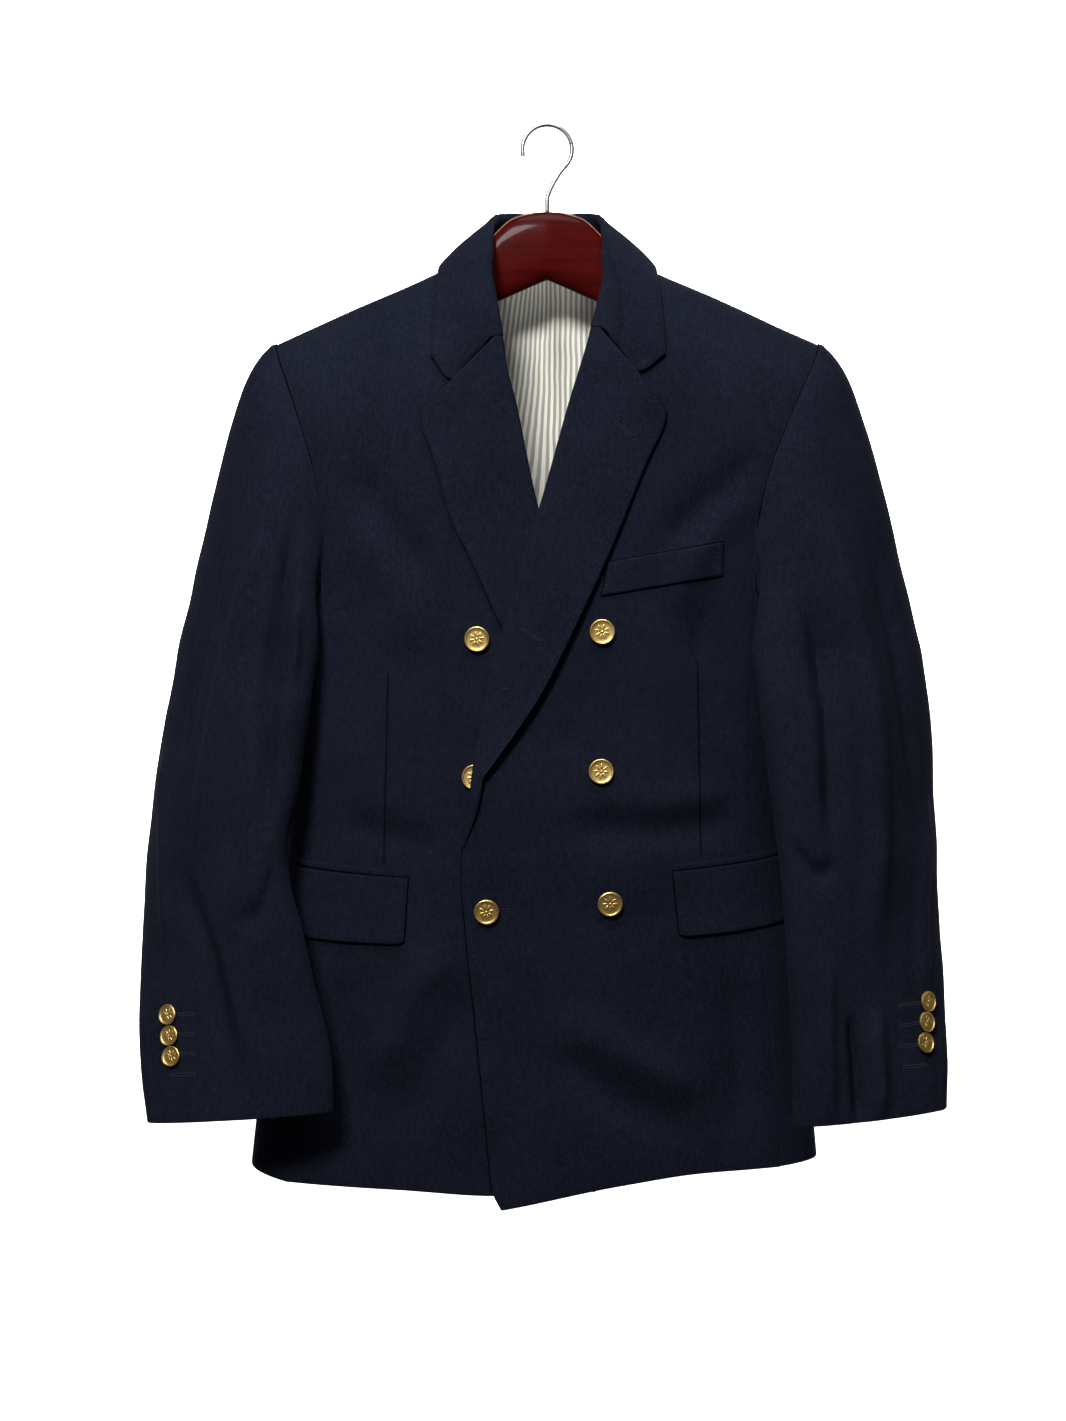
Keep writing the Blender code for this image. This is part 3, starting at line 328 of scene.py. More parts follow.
def skin(x, z, face):
    """A point of the body's cloth and the direction out of it."""
    y = face * math.sqrt(max(depth_squared(x, z, face), 0.0))
    step = 0.0002
    slope_x = (depth_squared(x + step, z, face) - depth_squared(x - step, z, face)) / (2 * step)
    slope_z = (depth_squared(x, z + step, face) - depth_squared(x, z - step, face)) / (2 * step)
    outward = Vector((-slope_x, 2.0 * y, -slope_z)).normalized()
    point = Vector((x, y, z))
    centre, half = section(z)[:2]
    inner = smooth((half * FRONT_SEAM - abs(x - centre)) / 0.030)
    height = fold_height(BODY_FOLDS[face], Vector((x, z))) + wander(point, 0.060, 0.0011)
    return point + outward * (height * inner), outward


def on_body(x, z, face, lift=0.0):
    point, outward = skin(x, z, face)
    return point + outward * lift


def turned(share, side, z, lift):
    """A point round the body's side: share 0 at the side-front seam, 1 at the back."""
    start = math.asin(FRONT_SEAM ** (ROUNDNESS / 2.0))
    end = math.pi - math.asin(BACK_SEAM ** (ROUNDNESS / 2.0))
    angle = mix(start, end, share)
    centre, half, front, back = section(z)
    depth = front if angle < math.pi / 2 else back
    x = half * math.sin(angle) ** (2.0 / ROUNDNESS)
    y = -depth * signed_power(math.cos(angle), 2.0 / ROUNDNESS)
    outward = Vector((
        side * (x / half) ** (ROUNDNESS - 1) / half,
        signed_power(y / depth, ROUNDNESS - 1) / depth,
        0.0,
    )).normalized()
    return Vector((centre + side * x, y, z)) + outward * lift


# ------------------------------------------------------------ mesh makers

MATERIAL = {}


def dress(thing, finish, replaced=()):
    """Give a piece its finish and its body, and hide the nodes that it takes the place of."""
    thing.data.materials.clear()
    thing.data.materials.append(MATERIAL[finish])
    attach(thing, "root")
    if replaced:
        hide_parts(*replaced)


def settle(name, mesh, angle=42.0):
    """Make a finished mesh an object at the origin, smooth up to a sharp angle."""
    data = bpy.data.meshes.new(name)
    mesh.to_mesh(data)
    mesh.free()
    data.shade_smooth()
    data.set_sharp_from_angle(angle=math.radians(angle))
    thing = bpy.data.objects.new(name, data)
    bpy.context.scene.collection.objects.link(thing)
    return thing


def grid_normals(points, sign):
    """Directions out of a grid of points, from each point's neighbours."""
    rows, columns = len(points), len(points[0])
    made = []
    for r in range(rows):
        line = []
        for c in range(columns):
            along = points[r][min(c + 1, columns - 1)] - points[r][max(c - 1, 0)]
            up = points[min(r + 1, rows - 1)][c] - points[max(r - 1, 0)][c]
            line.append(along.cross(up).normalized() * sign)
        made.append(line)
    return made


def thicken(points, thickness, sign):
    """The inner face of a cloth whose outer face is a grid of points."""
    normals = grid_normals(points, sign)
    return [
        [point - normal * thickness for point, normal in zip(line, directions)]
        for line, directions in zip(points, normals)
    ]


RIM = (0.40, 0.80)        # how full the cloth is at its rim and just inside it


def fullness(index, last):
    """Share of the cloth's thickness that a row or column has."""
    near = min(index, last - index)
    return RIM[near] if near < len(RIM) else 1.0


def wall(name, outer, inner):
    """A closed wall of cloth between two grids of points, with rounded rims."""
    rows, columns = len(outer) - 1, len(outer[0]) - 1
    across = [[0.0] * (columns + 1) for _ in range(rows + 1)]
    up = [[0.0] * (columns + 1) for _ in range(rows + 1)]
    for r in range(rows + 1):
        for c in range(columns + 1):
            if c:
                across[r][c] = across[r][c - 1] + (outer[r][c] - outer[r][c - 1]).length
            if r:
                up[r][c] = up[r - 1][c] + (outer[r][c] - outer[r - 1][c]).length
    mesh = bmesh.new()
    bmesh.ops.create_grid(mesh, x_segments=columns, y_segments=rows, size=0.5)
    copied = bmesh.ops.extrude_face_region(mesh, geom=mesh.faces[:], use_keep_orig=True)
    for element in copied["geom"]:
        if isinstance(element, bmesh.types.BMVert):
            element.co.z = 1.0
    cloth = mesh.loops.layers.uv.new("cloth")
    place = {}
    for vertex in mesh.verts:
        c = round((vertex.co.x + 0.5) * columns)
        r = round((vertex.co.y + 0.5) * rows)
        full = fullness(c, columns) * fullness(r, rows)
        face, other = outer[r][c], inner[r][c]
        if vertex.co.z > 0.5:
            face, other = other, face
        place[vertex] = (across[r][c], up[r][c])
        vertex.co = face.lerp(other, 0.5 * (1.0 - full))
    for face in mesh.faces:
        for loop in face.loops:
            loop[cloth].uv = place[loop.vert]
    bmesh.ops.recalc_face_normals(mesh, faces=mesh.faces)
    thing = settle(name, mesh)
    thing["cut_width"] = max(line[-1] for line in across)
    thing["cut_length"] = max(up[-1])
    area = 0.0
    for r in range(rows):
        for c in range(columns):
            a, b = outer[r][c + 1] - outer[r][c], outer[r + 1][c] - outer[r][c]
            area += a.cross(b).length
    thing["cut_area"] = area
    return thing


def thread(name, route, radius, roundness=3):
    """A round wire or thread along a route, as a mesh."""
    data = bpy.data.curves.new(name, "CURVE")
    data.dimensions = "3D"
    data.bevel_depth = radius
    data.bevel_resolution = roundness
    data.use_fill_caps = True
    line = data.splines.new("POLY")
    line.points.add(len(route) - 1)
    for point, place in zip(line.points, route):
        point.co = (*place, 1.0)
    drawn = bpy.data.objects.new(name + "_line", data)
    mesh = bmesh.new()
    made = drawn.to_mesh()
    mesh.from_mesh(made)
    drawn.to_mesh_clear()
    bpy.data.objects.remove(drawn)
    bmesh.ops.remove_doubles(mesh, verts=mesh.verts, dist=0.00001)
    bmesh.ops.recalc_face_normals(mesh, faces=mesh.faces)
    return settle(name, mesh, 60.0)


def hang(
    thing, finish, node,
):
    """Dress a cloth piece, and take off the cut's width, length and area that wall() put on it."""
    dress(thing, finish, (node,))
    for key in ("cut_width", "cut_length", "cut_area"):
        del thing[key]


# ------------------------------------------------------------ body panels


def drop_at(share, total):
    """How far below the shoulder line a row lies: close rows over the ridge."""
    curved = 0.30
    if share < curved:
        return RIDGE_DROP * (share / curved) ** 2
    return RIDGE_DROP + (total - RIDGE_DROP) * (share - curved) / (1.0 - curved)


def side_line(z, side, front):
    """x of a panel's outer edge: the side seam, and above it the armhole."""
    course = ARMHOLE_FRONT if front else ARMHOLE_BACK
    seam = FRONT_SEAM if front else BACK_SEAM
    centre, half = section(z)[:2]
    out = course(z) if z >= course.at[0] else half * seam
    return centre + side * (out + TUCK / 2)


def row_meets(share, edge, top, hem):
    """Where a row crosses an edge x = edge(z), found by stepping to and fro."""
    x = edge(top(0.0) - share * 0.6)
    for _ in range(28):
        z = top(x) - drop_at(share, top(x) - hem(x))
        x = mix(x, edge(z), 0.7)
    return x


LAPEL_ROOM = 0.0050       # how far the over front is lifted by the lapel under it
BUTTON_ROOM = 0.0034      # and by the button that it half hides


def front_lift(side, x, z):
    """The left front lies over the right one, its lapel and two of its buttons."""
    if side == RIGHT:
        return 0.0
    over_lapel = LAPEL_ROOM * smooth((z + 0.670) / 0.060)
    hidden_button = ((x + 0.058) / 0.026) ** 2 + ((z + 0.547) / 0.030) ** 2
    button_room = BUTTON_ROOM * math.exp(-hidden_button)
    overlap = smooth((0.145 - x) / 0.075)
    near_neck = smooth((-0.150 - z) / 0.060)
    return (CLOTH + 2 * LAYER + over_lapel) * overlap * near_neck + button_room


def front_point(side, x, z, lift=0.0):
    return on_body(x, z, FRONT, front_lift(side, x, z) + lift)


def front_panel(side):
    hem = FRONT_HEM[side]
    across, down = stops(50, 0.22), stops(124, 0.75)
    outer = []
    for v in down:
        inner_x = row_meets(1.0 - v, FRONT_EDGE[side], row_top, hem)
        outer_x = row_meets(1.0 - v, lambda z: side_line(z, side, True), row_top, hem)
        line = []
        for u in across:
            x = mix(inner_x, outer_x, u)
            z = row_top(x) - drop_at(1.0 - v, row_top(x) - hem(x))
            point = front_point(side, x, z)
            if v == 1.0:
                point.y += TUCK / 2
            line.append(point)
        outer.append(line)
    name = "front_" + WORD[side]
    hang(wall("cloth_" + name, outer, thicken(outer, CLOTH, side)), "wool_front", name)


def back_neck(x):
    """Height of the back's top edge: the neckline, then the shoulder line."""
    across = abs(x) / NECK_HALF
    if across >= 1.0:
        return ridge(x)
    return mix(CENTRE_BACK_NECK, NECK_HEIGHT, across**2.2)


def back_rows(side, down):
    """How far out each row of a back reaches."""
    return [
        row_meets(1.0 - v, lambda z: side_line(z, side, False), back_neck, lambda x: BACK_HEM)
        for v in down
    ]


def back_panel(side):
    across, down = stops(40, 0.21), stops(104, 0.78)
    outer = []
    for v, reach in zip(down, back_rows(side, down)):
        line = []
        for u in across:
            x = mix(-side * TUCK / 2, reach, u)
            z = back_neck(x) - drop_at(1.0 - v, back_neck(x) - BACK_HEM)
            point = on_body(x, z, BACK)
            if v == 1.0:
                point.y -= TUCK / 2
            line.append(point)
        outer.append(line)
    name = "back_" + WORD[side]
    hang(wall("cloth_" + name, outer, thicken(outer, CLOTH, -side)), "wool", name)


LINING_SLACK = 0.0060     # how far the lining hangs off the back
LINING_TOP = 0.0040
LINING_HEM = 0.0200
PLEAT = 0.0030            # the ease pleat at the lining's centre back


def lining_panel(side):
    across, down = stops(44, 0.21), stops(80, 0.75)
    outer = []
    for v, reach in zip(down, back_rows(side, down)):
        line = []
        for u in across:
            x = mix(-side * TUCK / 2, reach, 0.985 * u)
            top = back_neck(x) - LINING_TOP
            z = top - drop_at(1.0 - v, top - BACK_HEM - LINING_HEM)
            loose = LINING_SLACK * smooth((1.0 - v) / 0.30) * smooth(v / 0.15)
            slack = wander(Vector((x * 2.2, 3.0, z)), 0.060, 0.0016) * smooth((1.0 - v) / 0.1)
            if side == LEFT:
                loose += PLEAT * math.exp(-((x - 0.006) / 0.004) ** 2) * smooth((1.0 - v) / 0.15)
            line.append(on_body(x, z, BACK, -(CLOTH + LAYER + loose + max(slack, -0.0006))))
        outer.append(line)
    name = "lining_" + WORD[side]
    thing = wall("cloth_" + name, outer, thicken(outer, LINING_CLOTH, -side))
    hang(thing, "lining", name)


def underarm(share):
    """Height of the armhole's low edge, from the side-front seam to the back's."""
    level = mix(UNDERARM_FRONT, UNDERARM_BACK, share)
    return level - UNDERARM_DIP * math.sin(math.pi * share)


def side_panel(side):
    across, down = stops(16, 0.06), stops(70, 0.47)
    outer = []
    for v in down:
        line = []
        for u in across:
            share = mix(-0.004, 1.004, u)
            rise = SIDE_HEM_RISE * math.sin(math.pi * u)
            hem = mix(FRONT_HEM[side](side * 0.21), BACK_HEM, u) + rise
            line.append(turned(share, side, mix(hem, underarm(share), v), 0.0))
        outer.append(line)
    name = "side_" + WORD[side]
    hang(wall("cloth_" + name, outer, thicken(outer, CLOTH, side)), "wool", name)


# ---------------------------------------------------------------- sleeves

# Level sections of a sleeve; distances are from the garment's middle.
Ring = namedtuple("Ring", "height inner outer inner_y outer_y front back")
SLEEVES = {
    RIGHT: [
        Ring(-0.822, 0.1725, 0.3265, -0.083, -0.066, 0.017, 0.017),
        Ring(-0.780, 0.1750, 0.3340, -0.080, -0.050, 0.022, 0.022),
        Ring(-0.740, 0.1825, 0.3380, -0.077, -0.032, 0.027, 0.027),
        Ring(-0.670, 0.2000, 0.3392, -0.074, -0.010, 0.034, 0.034),
        Ring(-0.610, 0.2120, 0.3372, -0.068, 0.004, 0.040, 0.042),
        Ring(-0.560, 0.2030, 0.3335, -0.066, 0.010, 0.042, 0.048),
        Ring(-0.500, 0.1955, 0.3240, -0.062, 0.012, 0.042, 0.054),
        Ring(-0.440, 0.1880, 0.3130, -0.050, 0.012, 0.040, 0.058),
    ],
    LEFT: [
        Ring(-0.822, 0.1970, 0.3265, -0.085, -0.066, 0.020, 0.020),
        Ring(-0.780, 0.1970, 0.3290, -0.083, -0.050, 0.026, 0.024),
        Ring(-0.740, 0.1962, 0.3296, -0.080, -0.032, 0.031, 0.030),
        Ring(-0.670, 0.1925, 0.3288, -0.076, -0.012, 0.036, 0.036),
        Ring(-0.610, 0.1870, 0.3290, -0.070, 0.002, 0.041, 0.044),
        Ring(-0.560, 0.1820, 0.3275, -0.068, 0.010, 0.042, 0.050),
        Ring(-0.500, 0.1745, 0.3255, -0.064, 0.012, 0.042, 0.056),
        Ring(-0.440, 0.1680, 0.3175, -0.052, 0.012, 0.040, 0.060),
    ],
}
SLEEVE_COURSES = {
    side: [Course([(row.height, row[i]) for row in rows]) for i in range(1, 7)]
    for side, rows in SLEEVES.items()
}
CUFF_TILT = {RIGHT: -0.006, LEFT: 0.006}
TURN_SCALE = 0.0019       # metres of cloth for a degree round a sleeve


def turn_folds(*rows):
    """Folds of a sleeve, given by (degrees round it, height)."""
    return folds(*(
        ([(turn * TURN_SCALE, z) for turn, z in line], width, height)
        for line, width, height in rows
    ))


SLEEVE_FOLDS = {
    RIGHT: turn_folds(
        ([(88, -0.270), (85, -0.360), (81, -0.470), (80, -0.620)], 0.019, 0.0098),
        ([(108, -0.300), (114, -0.400), (118, -0.490), (136, -0.600)], 0.020, -0.0135),
        ([(132, -0.400), (140, -0.470)], 0.014, 0.0053),
        ([(48, -0.300), (54, -0.420), (52, -0.560)], 0.018, -0.0063),
        ([(30, -0.520), (48, -0.610), (52, -0.700)], 0.016, 0.0053),
        ([(66, -0.620), (84, -0.690), (90, -0.770)], 0.018, -0.0066),
        ([(110, -0.600), (96, -0.680), (100, -0.780)], 0.016, 0.0063),
        ([(150, -0.620), (126, -0.655), (104, -0.665)], 0.012, -0.0059),
        ([(215, -0.600), (240, -0.612), (262, -0.612)], 0.020, -0.0088),
        ([(220, -0.560), (258, -0.566)], 0.016, 0.0063),
        ([(-60, -0.400), (-50, -0.480), (-56, -0.570)], 0.018, -0.0056),
        ([(246, -0.420), (252, -0.500)], 0.018, 0.0053),
    ),
    LEFT: turn_folds(
        ([(84, -0.270), (79, -0.380), (76, -0.480), (80, -0.600), (88, -0.700)], 0.019, 0.0100),
        ([(140, -0.345), (104, -0.305), (80, -0.268)], 0.013, -0.0080),
        ([(146, -0.365), (112, -0.335), (88, -0.300)], 0.012, 0.0059),
        ([(108, -0.390), (105, -0.500), (112, -0.610)], 0.020, -0.0115),
        ([(52, -0.330), (50, -0.460), (46, -0.580)], 0.018, -0.0059),
        ([(30, -0.560), (44, -0.650), (50, -0.740)], 0.017, 0.0053),
        ([(150, -0.600), (128, -0.625), (108, -0.620)], 0.012, -0.0059),
        ([(106, -0.735), (103, -0.780), (100, -0.830)], 0.011, -0.0126),
        ([(88, -0.730), (86, -0.780), (85, -0.826)], 0.014, 0.0070),
        ([(122, -0.690), (124, -0.760), (122, -0.826)], 0.014, 0.0059),
        ([(215, -0.590), (240, -0.600), (262, -0.602)], 0.020, -0.0088),
        ([(220, -0.550), (258, -0.556)], 0.016, 0.0059),
        ([(-58, -0.390), (-50, -0.470), (-54, -0.560)], 0.018, -0.0056),
        ([(248, -0.430), (252, -0.510)], 0.018, 0.0053),
    ),
}


def clear_of_side(point):
    """Press a sleeve's point softly out against the body's side."""
    reach = smooth((UNDERARM_BACK + 0.020 - point.z) / 0.070)
    if reach == 0.0:
        return point
    centre, half, front, back = section(point.z)
    wide = half + SLEEVE_CLEAR
    deep = (front if point.y < 0.0 else back) + SLEEVE_CLEAR
    inside = (abs(point.x - centre) / wide) ** ROUNDNESS + abs(point.y / deep) ** ROUNDNESS
    ratio = max(inside ** (1.0 / ROUNDNESS), 0.05)
    if ratio > 1.5:
        return point
    grow = (ratio**26 + 1.0) ** (1.0 / 26) / ratio
    moved = Vector((centre + (point.x - centre) * grow, point.y * grow, point.z))
    return point.lerp(moved, reach)


def armhole(side, turn, under=SLEEVE_UNDER, lift=-0.45 * CLOTH):
    """A point of the armhole, or under past its edge, where the sleeve's own edge lies."""
    if 0.0 <= turn <= ARMHOLE_LOW_FRONT:
        z = mix(SHOULDER_POINT, UNDERARM_FRONT, (turn / ARMHOLE_LOW_FRONT) ** 1.5)
        return on_body(side_line(z, side, True) - side * under, z, FRONT, lift)
    if ARMHOLE_LOW_FRONT < turn < ARMHOLE_LOW_BACK:
        share = (turn - ARMHOLE_LOW_FRONT) / (ARMHOLE_LOW_BACK - ARMHOLE_LOW_FRONT)
        return turned(share, side, underarm(share) - under, lift)
    from_top = abs(turn if turn < 0.0 else 360.0 - turn)
    z = mix(SHOULDER_POINT, UNDERARM_BACK, (from_top / (360.0 - ARMHOLE_LOW_BACK)) ** 1.5)
    return on_body(side_line(z, side, False) - side * under, z, BACK, lift)


def sleeve_ring(side, turn, z):
    """A point round a sleeve at one height, below its head."""
    inner, outer, inner_y, outer_y, front, back = (
        course(z) for course in SLEEVE_COURSES[side]
    )
    sine, cosine = math.sin(math.radians(turn)), math.cos(math.radians(turn))
    x = mix(inner, outer, 0.5 + 0.5 * cosine)
    y = mix(inner_y, outer_y, 0.5 + 0.5 * cosine) - (front if sine > 0.0 else back) * sine
    tilt = CUFF_TILT[side] * cosine * smooth((-0.740 - z) / 0.080)
    return clear_of_side(Vector((side * x, y, z + tilt)))


def sleeve_head(side, turn, share):
    """A point of the sleeve head, on a curve from the armhole to the bicep ring."""
    start = armhole(side, turn)
    end = sleeve_ring(side, turn, BICEP)
    top = 0.5 + 0.5 * math.cos(math.radians(turn if turn < 180.0 else (turn - 360.0)))
    forward = math.sin(math.radians(turn))
    away = Vector((side * mix(0.30, 1.0, top), -0.55 * forward, mix(-0.9, 0.10, top)))
    first = start + away * mix(0.010, 0.034, top)
    second = end + Vector((side * -0.028 * top, 0.0, mix(0.024, 0.113, top)))
    curve = (
        start * (1 - share) ** 3 + first * 3 * share * (1 - share) ** 2
        + second * 3 * share**2 * (1 - share) + end * share**3
    )
    rope = SLEEVE_ROPE * top**2 * math.exp(-(((share - 0.045) / 0.040) ** 2))
    curve += Vector((side * 0.3, -0.5 * forward, 1.0)).normalized() * rope
    return curve.lerp(clear_of_side(curve), smooth(share / 0.15))


def sleeve_point(side, turn, v):
    """A point of a plain sleeve: v is 0 at the armhole and 1 at the cuff."""
    if v < HEAD_SHARE:
        return sleeve_head(side, turn, v / HEAD_SHARE)
    return sleeve_ring(side, turn, mix(BICEP, CUFF, (v - HEAD_SHARE) / (1.0 - HEAD_SHARE)))


def back_seam_turn(v):
    """The sleeve's back seam drifts to the outer edge on its way to the cuff."""
    at_head, at_cuff = BACK_SEAM_TURNS
    return mix(at_head, at_cuff, smooth((v - 0.30) / 0.60))


def armhole_middle(side):
    return Vector((side * 0.205, 0.0, -0.290))


VENT_TOP = -0.712         # the cuff's vent is stitched shut above this
VENT_LAP = 0.0011
VENT_WIDTH = 12.0         # degrees round the sleeve that the upper side laps over


def sleeve_unevenness(side, turn, point):
    """How far a sleeve's folds and the slow waves of its cloth move a point."""
    place = Vector((turn * TURN_SCALE, point.z))
    return fold_height(SLEEVE_FOLDS[side], place) + wander(point, 0.045, 0.0016)


def sleeve_grid(side, from_turn, to_turn, across, down, lap):
    """The outer points of half a sleeve, between two seams that wander as it goes down."""
    plain, turns = [], []
    for v in down:
        low, high = from_turn(1.0 - v), to_turn(1.0 - v)
        turns.append([mix(low, high, u) for u in across])
        plain.append([sleeve_point(side, turn, 1.0 - v) for turn in turns[-1]])
    normals = grid_normals(plain, -side)
    outer = []
    for line, directions, row in zip(plain, normals, turns):
        made = []
        for point, outward, turn in zip(line, directions, row):
            if turn > 270.0:
                turn -= 360.0
            height = sleeve_unevenness(side, turn, point)
            height *= smooth((point - armhole_middle(side)).length / 0.10 - 0.35)
            by_vent = smooth((row[0] + VENT_WIDTH - turn) / 5.0)
            height += lap * smooth((VENT_TOP - point.z) / 0.006) * by_vent
            made.append(point + outward * height)
        outer.append(made)
    return outer


def sleeve(side):
    parts = (
        ("sleeve_top_", lambda v: back_seam_turn(v) - SLEEVE_TUCK,
         lambda v: SLEEVE_FRONT_SEAM + SLEEVE_TUCK, 64, 124, 0.24),
        ("sleeve_under_", lambda v: SLEEVE_FRONT_SEAM,
         lambda v: 360.0 + back_seam_turn(v), 34, 104, 0.14),
    )
    for stem, low, high, columns, rows, width in parts:
        across, down = stops(columns, width), stops(rows, 0.64)
        lap = VENT_LAP if stem == "sleeve_top_" else 0.0
        outer = sleeve_grid(side, low, high, across, down, lap)
        name = stem + WORD[side]
        hang(wall("cloth_" + name, outer, thicken(outer, CLOTH, -side)), "wool", name)


# ------------------------------------------------------- lapels and collar

# The roll's section: how far past the front's edge and how far out of its face.
Turn = namedtuple("Turn", "share outer_q outer_lift inner_q inner_lift")
ROLL = [
    Turn(0.00, -0.0012, -0.0021, -0.0011, -0.0010),
    Turn(0.25, -0.0034, -0.0012, -0.0014, -0.0006),
    Turn(0.50, -0.0041, 0.0010, -0.0016, 0.0006),
    Turn(0.75, -0.0030, 0.0030, -0.0010, 0.0012),
    Turn(1.00, 0.0016, 0.0042, 0.0022, 0.0019),
]
ROLL_COURSES = [Course([(row.share, row[i]) for row in ROLL]) for i in range(1, 5)]
ROLL_PUFF = {LEFT: 0.0022, RIGHT: 0.0012}
ROLL_SPAN = 0.20          # share of a lapel's columns that turn round the edge

# How far a lapel's edge stands off the chest, along its length.
EDGE_STAND = {
    LEFT: Course([
        (0.0, 0.0), (0.12, 0.0034), (0.26, 0.0072), (0.48, 0.0060), (0.75, 0.0030), (1.0, 0.0008),
    ]),
    RIGHT: Course([(0.0, 0.0), (0.5, 0.0016), (0.8, 0.0034), (1.0, 0.0018)]),
}


def lapel_sheet(side, u, v):
    """Outer and inner point of a lapel: u from inside the roll to the edge."""
    foot = LAPEL_FOOT[side]
    roll_z = mix(foot, GORGE[side].height - GORGE_START, v)
    edge_z = mix(foot, LAPEL_POINT[side], v)
    roll_x = FRONT_EDGE[side](roll_z)
    grown = smooth((roll_z - foot) / 0.050)
    least = mix(0.0012, 0.0040, grown)
    edge_x = roll_x + side * max(side * (LAPEL_EDGE[side](edge_z) - roll_x), least)
    turn = clamp(u / ROLL_SPAN)
    outer_q, outer_lift, inner_q, inner_lift = (course(turn) for course in ROLL_COURSES)
    share = clamp((u - ROLL_SPAN) / (1.0 - ROLL_SPAN))
    taper = mix(0.25, 1.0, grown)
    points = []
    for past, lift, rest in (
        (outer_q, outer_lift, LAYER + LAPEL_CLOTH), (inner_q, inner_lift, LAYER),
    ):
        x = mix(roll_x + side * past * taper, edge_x, share)
        z = mix(roll_z, edge_z, share)
        lift = mix(lift, rest, smooth(share))
        lift += ROLL_PUFF[side] * math.sin(math.pi * share) * grown
        lift += EDGE_STAND[side](v) * share**3
        points.append(front_point(side, x, z, lift * mix(0.55, 1.0, grown)))
    return points


def lapel(side):
    across, down = stops(48, 0.09), stops(110, 0.38)
    pairs = [[lapel_sheet(side, u, v) for u in across] for v in down]
    outer = [[pair[0] for pair in line] for line in pairs]
    inner = [[pair[1] for pair in line] for line in pairs]
    name, front = "lapel_" + WORD[side], "cloth_front_" + WORD[side]
    thing = wall("cloth_" + name, outer, inner)
    hang(thing, "wool_edge", name)


Station = namedtuple("Station", "share fold_x fold_y fold_z edge_x edge_z")
COLLAR = [
    Station(0.00, 0.000, 0.0580, -0.0620, 0.000, -0.1080),
    Station(0.22, 0.027, 0.0510, -0.0628, 0.040, -0.1110),
    Station(0.38, 0.042, 0.0300, -0.0675, 0.074, -0.1230),
    Station(0.50, 0.0485, 0.0020, -0.0810, 0.0885, -0.1250),
    Station(0.68, 0.0475, -0.0340, -0.1130, 0.0930, -0.1510),
    Station(0.84, 0.0425, -0.0530, -0.1490, 0.0950, -0.1800),
    Station(1.00, 0.0375, -0.0590, -0.1770, 0.0955, -0.2020),
]
FOLD_X, FOLD_Y, FOLD_Z, EDGE_X, EDGE_Z = (
    Course([(row.share, row[i]) for row in COLLAR]) for i in range(1, 6)
)
NECK_SHARE = 0.50         # share of half a collar that runs round the back neck
FOLD_RADIUS = 0.0026
COLLAR_LIFT = 0.0036      # how far the fall's edge lies off the cloth
NECK_GAP = 0.0014
COLLAR_REST = 0.0024      # the least distance of the rest of the fall
NECK_MARGIN = 0.0090
OVER_SHOULDER = (0.30, 0.62)


def gorge_place(side, share):
    """(x, z) on the collar's side of the gorge seam, from the roll to the lapel's point."""
    start_z = GORGE[side].height - GORGE_START
    start_x = FRONT_EDGE[side](start_z) + side * ROLL[-1].inner_q
    end_z = LAPEL_POINT[side]
    end_x = LAPEL_EDGE[side](end_z)
    run = Vector((abs(end_x - start_x), end_z - start_z)).normalized()
    x = mix(start_x, end_x, share) - side * run.y * GORGE_GAP
    return x, mix(start_z, end_z, share) + run.x * GORGE_GAP


def at_depth(x, y):
    """The height at which the shoulder's cloth reaches a depth y, for a point near its line."""
    face = FRONT if y < 0.0 else BACK
    level = ridge(x)
    full = depth_squared(x, level - RIDGE_DROP, face)
    drop = 1.0 - math.sqrt(max(1.0 - min(y * y / full, 1.0), 0.0))
    return level - drop * RIDGE_DROP


def collar_edge(side, at):
    """The fall's edge: over the back, across the shoulder and down the front."""
    low, high = OVER_SHOULDER
    x = side * EDGE_X(at)
    if at <= low:
        return on_body(x, EDGE_Z(at), BACK, COLLAR_LIFT)
    if at >= high:
        return front_point(side, x, EDGE_Z(at), COLLAR_LIFT)
    behind, before = (
        skin(side * EDGE_X(place), EDGE_Z(place), face)[0].y
        for place, face in ((low, BACK), (high, FRONT))
    )
    share = (at - low) / (high - low)
    y = mix(behind, before, share)
    z = at_depth(x, y)
    outward = skin(x, z, FRONT if y < 0.0 else BACK)[1]
    outward = Vector((outward.x * 0.5, y * 12.0, 1.0)).normalized()
    return Vector((x, y, z)) + outward * (COLLAR_LIFT + 0.0012 * math.sin(math.pi * share))


def rest_on_panels(side, point, lift):
    """Keep a point that lies over a front or the back at least lift off its cloth."""
    face = FRONT if point.y <= 0.0 else BACK
    height = min(point.z, ridge(point.x) - 0.0005)
    if face == FRONT:
        over_panel = side * (point.x - FRONT_EDGE[side](height)) > -NECK_MARGIN
        over_panel = over_panel and height < NECK_HEIGHT + 0.003
        lift += front_lift(side, point.x, height)
    else:
        over_panel = height < back_neck(point.x) + 0.004
    if not over_panel or point.z > ridge(point.x) + 0.006:
        return point
    cloth, outward = skin(point.x, height, face)
    short = lift - (point - cloth).dot(outward)
    return point + outward * max(short, 0.0)


def neck_seam(side, share):
    """Where the collar is sewn on: round the back neck, then down the front's neckline."""
    if share <= NECK_SHARE:
        x = side * NECK_HALF * (share / NECK_SHARE)
        return on_body(x, back_neck(x), BACK, -CLOTH / 2)
    z = mix(NECK_HEIGHT, GORGE[side].height + 0.002, (share - NECK_SHARE) / (1.0 - NECK_SHARE))
    return front_point(side, FRONT_EDGE[side](z), z, -CLOTH / 2)


